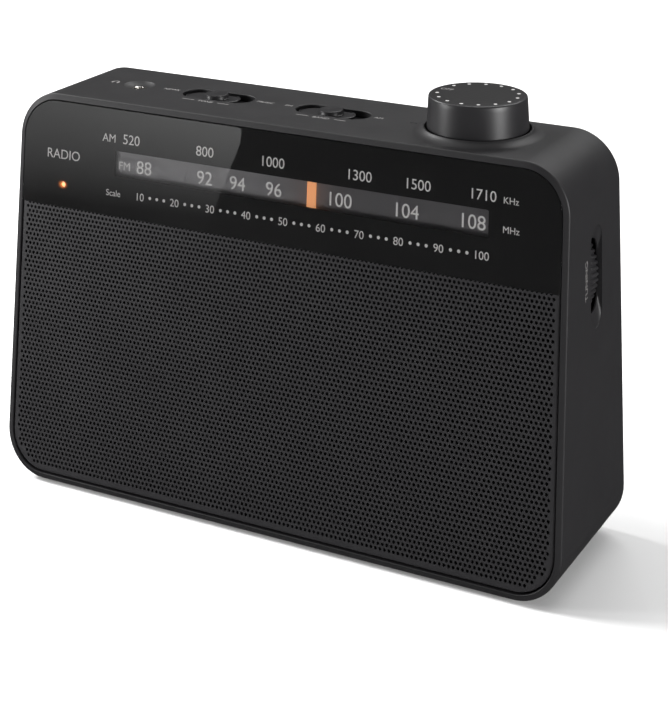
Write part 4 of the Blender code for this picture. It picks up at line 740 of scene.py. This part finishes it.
def buildVolume():
    place = onTop @ Matrix.Translation((volume["x"], volume["y"], volume["lift"]))
    r, top, h = volume["radius"], volume["topRadius"], volume["height"]
    side = [(r - 2.0, 0.0), (r - 0.15, 0.0), (r, 0.15), (r - 0.12, h * 0.3), (top + 0.1, h * 0.8), (top, h - 0.75),
            (top - 0.08, h - 0.4), (top - 0.3, h - 0.15), (top - 0.6, h - 0.03), (top - 0.95, h)]
    body = side + [(top - 1.2, h - 0.02), (top - 1.3, h - 0.3), (top - 2.5, h - 2.0)]
    makePiece("volume_knob_skirt", turned(body, place, 160, around=True), "volume_control",
              finishes["knob"], ["volume_knob"])
    face = [(0.001, h - 2.0), (top - 2.4, h - 2.0), (top - 1.22, h - 0.35), (top - 1.22, h - 0.06),
            (top - 1.5, h - 0.03), (top - 6.0, h - 0.05), (0.001, h - 0.06)]
    makePiece("volume_knob_face", turned(face, place, 160), "volume_control", finishes["knobFace"])

    count, ring = 15, 13.6
    spots = [(ring * math.cos(a), ring * math.sin(a))
             for a in (math.radians(174) + 2 * math.pi * i / count for i in range(1, count))]
    dots("volume_dots", spots, 0.62, place, finishes["ink"], "volume_control", h - 0.04)
    printed("volume_off_word", [("OFF", -11.9, 0.6, 1.9, 0)], place, finishes["inkDim"], "volume_control",
            h - 0.04)


def buildSliders():
    length, width = controls["slot"]
    for name, body in (("tone", "tone_control"), ("band", "band_control")):
        x = controls[name] - controls["travel"] / 2
        y = controls["line"]
        cap = roundedSlab(lambda inset: stadium(x, y, controls["capLength"] - 2 * inset, width - 0.6 - 2 * inset, 16),
                          -3.0, -controls["recess"], 0.35, onTop, 4)
        makePiece(name + "_slider_cap", cap, body, finishes["knob"], [name + "_slider"])
        shelf = roundedSlab(lambda inset: stadium(x, y, length + 2 * controls["travel"] - 2 * inset,
                                                  width + 3 - 2 * inset, 12),
                            -3.6, -2.4, 0.1, onTop, 1)
        makePiece(name + "_slider_shelf", shelf, body, finishes["knob"])
        r, base, h = controls["buttonRadius"], -controls["recess"], controls["buttonHeight"]
        button = [(0.001, base - 0.5), (r + 0.25, base - 0.5), (r + 0.25, base - 0.02), (r + 0.08, base + 0.06),
                  (r, base + 0.3), (r - 0.1, base + h - 0.35), (r - 0.25, base + h - 0.12), (r - 0.6, base + h),
                  (r - 1.2, base + h - 0.03), (r - 2.4, base + h - 0.16), (0.001, base + h - 0.22)]
        place = onTop @ Matrix.Translation((x + controls["buttonOffset"], y, 0))
        makePiece(name + "_slider_button", turned(button, place, 72), body, finishes["knob"])

    high, low = controls["line"] - 0.85, 24.5 - 0.8  # baselines of the two rows of words
    words = [("NEWS", -56.5, high, 1.7, 0), ("MUSIC", -17.7, high, 1.7, 0), ("TONE", -37.2, low, 1.7, 0),
             ("FM", -8.4, high, 1.7, 0), ("AM", 26.6, high, 1.7, 0), ("BAND", 8.9, low, 1.7, 0)]
    lift = controls["stripLift"]
    printed("top_words", words, onTop, finishes["inkDim"], "case", lift)
    shape = bmesh.new()
    for left, right in ((-46.7, -41.8), (-32.4, -27.7), (-0.8, 4.0), (13.9, 18.3)):
        bar = Matrix.Translation(((left + right) / 2, low + 0.85, lift)) @ Matrix.Diagonal((right - left, 0.3, 1, 1))
        bmesh.ops.create_grid(shape, x_segments=1, y_segments=1, size=0.5, matrix=bar)
    thicken(shape, 0.03)
    inkPiece("top_rules", shape, onTop, finishes["inkDim"], "case")
    buildHeadphoneSign(lift)


def buildHeadphoneSign(lift):
    # a plain pair of headphones: a half ring and two cups
    x, y, r = -80.6, 33.1, 1.35
    shape = bmesh.new()
    steps = 14
    arc = []
    for radius in (r, r - 0.35):
        arc.append([shape.verts.new((x + radius * math.cos(math.pi * i / steps),
                                     y + radius * math.sin(math.pi * i / steps), lift))
                    for i in range(steps + 1)])
    for i in range(steps):
        shape.faces.new((arc[0][i], arc[0][i + 1], arc[1][i + 1], arc[1][i]))
    for side in (-1, 1):
        cup = Matrix.Translation((x + side * (r - 0.25), y - 0.55, lift)) @ Matrix.Diagonal((0.75, 1.3, 1, 1))
        bmesh.ops.create_grid(shape, x_segments=1, y_segments=1, size=0.5, matrix=cup)
    thicken(shape, 0.03)
    inkPiece("headphone_sign", shape, onTop, finishes["inkDim"], "case")


def buildJack():
    place = onTop @ Matrix.Translation((jack["x"], controls["line"], 0))
    r, bore = jack["barrel"], jack["bore"]
    ring = [(r, -4.2), (r, -1.25), (r - 0.12, -1.05), (r - 0.4, -1.0), (bore + 0.35, -1.05), (bore + 0.1, -1.2),
            (bore, -1.5), (bore, -4.2)]
    makePiece("jack_bushing_ring", turned(ring, place, 64, around=True), "case", finishes["nickel"],
              ["jack_bushing"])


def buildWheel():
    # moulded teeth that lean across the rim, so the thumb does not slip either way
    teeth, width, r = wheel["teeth"], wheel["width"], wheel["radius"]
    place = onCase @ Matrix.Translation((wheel["x"], wheel["y"], wheel["z"])) @ Matrix.Rotation(-math.pi / 2, 4, "X")
    profile = ((0.0, -0.75), (0.12, -0.75), (0.32, -0.1), (0.5, 0.0), (0.68, -0.1), (0.88, -0.75))
    rings = []
    for h, drop, share in ((-0.5, 3.0, 0), (-0.5, 0.9, 0), (-0.42, 0.25, 0.08), (-0.2, 0.0, 0.3), (0.0, 0.0, 0.5),
                           (0.2, 0.0, 0.7), (0.42, 0.25, 0.92), (0.5, 0.9, 1), (0.5, 3.0, 1)):
        ring = []
        for tooth in range(teeth):
            for along, down in profile:
                angle = 2 * math.pi * (tooth + along + wheel["skew"] * share) / teeth
                radius = r - drop + (down if drop < 1 else 0)
                ring.append((radius * math.cos(angle), radius * math.sin(angle), h * width))
        rings.append(ring)
    rim = makePiece("tuning_wheel_rim", loft(rings, place, around=True), "tuning_drive",
                    finishes["knob"], ["tuning_wheel"], sharp=50.0)
    hub = [(2.3, -4.2), (5.5, -4.2), (5.5, -2.0), (r - 3.2, -1.8), (r - 2.0, -3.4), (r - 2.0, 3.4), (r - 3.2, 1.8),
           (5.5, 2.0), (5.5, 4.2), (2.3, 4.2)]
    makePiece("tuning_wheel_hub", turned(hub, place, 96, around=True), "tuning_drive", finishes["knob"])

    upright = Matrix.Rotation(math.pi / 2, 4, "Z") @ Matrix.Rotation(math.pi / 2, 4, "X")
    side = onCase @ Matrix.Translation((case["width"] / 2, 0, 0)) @ upright  # local x is back, y is up, z is outwards
    printed("tuning_word", [("TUNING", 24.0, 94.0, 2.4, math.pi / 2)], side, finishes["inkFaint"], "case",
            0.0, 0.015)


def buildRear():
    softened("rear_cover", 0.35, finishes["case"], "case")
    softened("battery_door", 0.3, finishes["case"], "door")
    softened("mains_inlet", 0.25, finishes["inner"], "case")
    softened("aerial_bracket", 0.5, finishes["chrome"], "case", 3)
    softened("aerial_base", 0.25, finishes["chrome"], "aerial_mount")
    for number in range(1, 5):
        softened(f"cover_screw_{number}", 0.15, finishes["zinc"], "case")


def buildAerial():
    # drawn tubes, each with a rolled lip where the next one leaves it
    radii = ((3.0, 2.6), (2.3, 1.9), (1.6, 1.2), (0.9, 0.0))
    for number, (outer, inner) in enumerate(radii, 1):
        low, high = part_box(f"aerial_section_{number}")
        middle = (low + high) / 2
        start = high.x * 1000 if number > 1 else high.x * 1000 - 7.0
        end = low.x * 1000 + (0.0 if number < 4 else 5.0)
        length = start - end
        turn = Matrix.Rotation(-math.pi / 2, 4, "Y") @ Matrix.Scale(0.001, 4)
        place = Matrix.Translation((start / 1000, middle.y, middle.z)) @ turn
        if inner:
            lip = outer - 0.18
            profile = [(inner, 1.5), (outer - 0.2, 0.0), (outer, 0.3), (outer, length - 1.2),
                       (outer - 0.08, length - 0.6), (lip - 0.1, length - 0.1), (inner + 0.05, length),
                       (inner, length - 0.3)]
            tube = turned(profile, place, 48, around=True)
        else:
            tip = outer + 2.05
            profile = [(0.001, 0.0), (outer, 0.1), (outer, length + 0.3), (tip - 0.5, length + 0.35),
                       (tip, length + 0.8), (tip, length + 4.2), (tip - 0.35, length + 4.75), (0.001, length + 4.95)]
            tube = turned(profile, place, 48)
        makePiece(f"aerial_tube_{number}", tube, f"aerial_{number}", finishes["chrome"],
                  [f"aerial_section_{number}"])
    low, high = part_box("aerial_section_1")
    pivot = Vector((high.x * 1000 - 2.8, (low.y + high.y) * 500, (low.z + high.z) * 500))
    eye = roundedOutline(-6.0, 2.8, -2.8, 2.8, 2.79, 12)
    tongue = loft([[(x, y * (1 - 0.35 * max(0.0, -x) / 6), h) for x, y in eye] for h in (-1.6, 1.6)],
                  Matrix.Translation(pivot / 1000) @ Matrix.Scale(0.001, 4))
    makePiece("aerial_tongue", tongue, "aerial_1", finishes["chrome"])


def buildFeet():
    for name in ("left_front", "left_rear", "right_front", "right_rear"):
        low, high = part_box("foot_" + name)
        place = Matrix.Translation(((low.x + high.x) / 2, (low.y + high.y) / 2, low.z)) @ Matrix.Scale(0.001, 4)
        r, h = 6.0, (high.z - low.z) * 1000
        pad = [(0.001, 0.12), (r - 1.6, 0.1), (r - 0.6, 0.0), (r - 0.25, 0.1), (r - 0.02, 0.4), (r, 0.7), (r, h),
               (0.001, h)]
        makePiece("foot_pad_" + name, turned(pad, place, 64), "case", finishes["rubber"], ["foot_" + name])


def finishInside():
    looks = {
        "inner": ("front_frame", "battery_box", "headphone_socket", "tuning_capacitor", "tuning_pulley",
                  "ferrite_holder"),
        "strip": ("dial_plate",),
        "pointer": ("dial_pointer",),
        "zinc": ("speaker_basket", "speaker_screw_1", "speaker_screw_2", "speaker_screw_3", "speaker_screw_4",
                 "volume_potentiometer", "volume_shaft", "tone_switch", "band_switch", "board_screw_1",
                 "board_screw_2", "tuning_bracket", "battery_bridge", "battery_contact_negative",
                 "battery_contact_positive", "transformer_core"),
        "nylon": ("capacitor_gear", "cord_idler"),
        "cord": ("dial_cord",),
        "copper": ("transformer_coil", "ferrite_coil"),
        "board": ("main_board",),
        "ferrite": ("ferrite_rod", "speaker_magnet"),
        "paper": ("speaker_cone",),
        "rubber": ("speaker_surround",),
    }
    for look, nodes in looks.items():
        for node in nodes:
            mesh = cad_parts[node].data
            mesh.materials.clear()
            mesh.materials.append(finishes[look])


# ---- studio

studio = {
    "camera": (315.8, -549.71, 307.26),  # millimetres on the case
    "azimuth": 27.73, "elevation": 21.35, "lens": 104.17,
    "floor": "#f4f4f4",
    "world": 0.07,
}


def buildCamera():
    # a view camera with a risen front: verticals stay upright, as the tilt is taken out by a sheared tripod
    data = bpy.data.cameras.new("camera")
    data.lens = studio["lens"]
    data.sensor_width = 36.0
    data.clip_start = 0.02
    camera = bpy.data.objects.new("camera", data)
    tripod = bpy.data.objects.new("tripod", None)
    for item in (camera, tripod):
        bpy.context.scene.collection.objects.link(item)
    az, el = math.radians(studio["azimuth"]), math.radians(studio["elevation"])
    back = Vector((math.sin(az) * math.cos(el), -math.cos(az) * math.cos(el), math.sin(el)))
    right = Vector((math.cos(az), math.sin(az), 0))
    spot = onCase @ Vector(studio["camera"])
    camera.parent = tripod
    camera.matrix_parent_inverse = Matrix((
        (right.x, 0, back.x, spot.x), (right.y, 0, back.y, spot.y), (right.z, 1, back.z, spot.z), (0, 0, 0, 1)))
    bpy.context.scene.camera = camera
    return spot


def softbox(name, spot, aim, size, watts):
    data = bpy.data.lights.new(name, "AREA")
    data.shape = "RECTANGLE"
    data.size, data.size_y = size
    data.energy = watts
    light = bpy.data.objects.new(name, data)
    light.location = spot
    light.rotation_euler = (Vector(aim) - Vector(spot)).to_track_quat("-Z", "Y").to_euler()
    light.visible_camera = False
    bpy.context.scene.collection.objects.link(light)
    return light


def glareCard(eye):
    # a white card that the glossy dial mirrors on its left; its edge is where the mirrored ray meets it
    normal = (onFront.to_3x3() @ Vector((0, 0, 1))).normalized()
    outline = [(-13.5, 126), (-13.0, 130), (-14.5, 132.5), (-17.5, 134.2), (-130, 139), (-130, 88), (-27.2, 92)]
    points = []
    for x, s in outline:
        spot = onFront @ Vector((x, s, 0))
        ray = (spot - eye).normalized()
        points.append(spot + 0.55 * (ray - 2 * ray.dot(normal) * normal))
    mesh = bpy.data.meshes.new("glare_card")
    mesh.from_pydata([tuple(p) for p in points], [], [tuple(range(len(points)))])
    material = bpy.data.materials.new("glareCardWhite")
    material.use_nodes = True
    tree = material.node_tree
    tree.nodes.clear()
    place = addNode(tree, "ShaderNodeTexCoord").outputs["Generated"]
    split = addNode(tree, "ShaderNodeSeparateXYZ", {"Vector": place})
    across = addNode(tree, "ShaderNodeMapRange", {"Value": split.outputs["X"], "To Min": 0.3, "To Max": 1.35})
    up = addNode(tree, "ShaderNodeMapRange",
                 {"Value": split.outputs["Z"], "From Min": 0.15, "From Max": 0.9, "To Min": 0.08})
    fade = addNode(tree, "ShaderNodeMath", {0: across.outputs["Result"], 1: up.outputs["Result"]},
                   operation="MULTIPLY")
    light = addNode(tree, "ShaderNodeEmission", {"Strength": fade.outputs[0]})
    addNode(tree, "ShaderNodeOutputMaterial", {"Surface": light.outputs[0]})
    mesh.materials.append(material)
    card = bpy.data.objects.new("glare_card", mesh)
    bpy.context.scene.collection.objects.link(card)
    for kind in ("camera", "diffuse", "shadow", "transmission", "volume_scatter"):
        setattr(card, "visible_" + kind, False)


def buildStudio():
    eye = buildCamera()
    scene = bpy.context.scene
    scene.view_settings.view_transform = "Standard"
    world = bpy.data.worlds.new("studio")
    world.use_nodes = True
    world.node_tree.nodes["Background"].inputs["Color"].default_value = (1, 1, 1, 1)
    world.node_tree.nodes["Background"].inputs["Strength"].default_value = studio["world"]
    scene.world = world

    # one sweep of white paper: floor, curve and wall
    sweep = []
    for step in range(13):
        angle = step / 12 * math.pi / 2
        sweep.append((2.0 + 0.8 * math.sin(angle), 0.8 * (1 - math.cos(angle))))
    line = [(-4.0, 0.0)] + sweep + [(2.8, 4.0)]
    points = [(x, y, z) for x in (-5, 5) for y, z in line]
    count = len(line)
    mesh = bpy.data.meshes.new("floor")
    mesh.from_pydata(points, [], [(i, i + 1, count + i + 1, count + i) for i in range(count - 1)])
    mesh.shade_smooth()
    material, tree, shader = newMaterial("matPaperWhite", studio["floor"], 0.9)
    place = addNode(tree, "ShaderNodeTexCoord").outputs["Object"]
    fibre = addNode(tree, "ShaderNodeTexNoise", {"Vector": place, "Scale": 900.0})
    bump = addNode(tree, "ShaderNodeBump", {"Height": fibre.outputs["Fac"], "Distance": 0.00002, "Strength": 0.2})
    tree.links.new(bump.outputs["Normal"], shader.inputs["Normal"])
    shader.inputs["Emission Color"].default_value = (1, 1, 1, 1)
    shader.inputs["Emission Strength"].default_value = 0.08
    mesh.materials.append(material)
    floor = bpy.data.objects.new("floor", mesh)
    floor.location.y = 0.6
    scene.collection.objects.link(floor)
    floor.visible_glossy = False

    softbox("key_left", (-1.1, 0.05, 0.95), (0, 0, 0.06), (0.5, 0.5), 13)
    softbox("overhead", (0.0, 0.3, 1.3), (0, 0, 0.05), (1.2, 1.0), 3)
    softbox("edge_left", (-0.4, -0.3, 0.17), (-0.06, 0, 0.1), (0.1, 0.14), 1.15)
    softbox("side_right", (0.9, -0.25, 0.2), (0.1, 0, 0.06), (0.3, 0.25), 5.5)
    sweepLight = softbox("sweep_left", (-1.2, -0.25, 1.0), (0, 0, 0), (0.45, 0.45), 26)
    paper = bpy.data.collections.new("paper")
    paper.objects.link(floor)
    sweepLight.light_linking.receiver_collection = paper
    softbox("backdrop", (0.3, 1.6, 1.8), (0, 2.2, 0.2), (2.0, 1.0), 45)
    glareCard(eye)


buildCase()
print("radio: case built")
buildGrille()
buildDial()
print("radio: front built")
buildVolume()
buildSliders()
buildJack()
buildWheel()
print("radio: controls built")
buildRear()
buildAerial()
buildFeet()
finishInside()
print("radio: rear, aerial, feet and inside finished")
buildStudio()
print("radio: studio set")
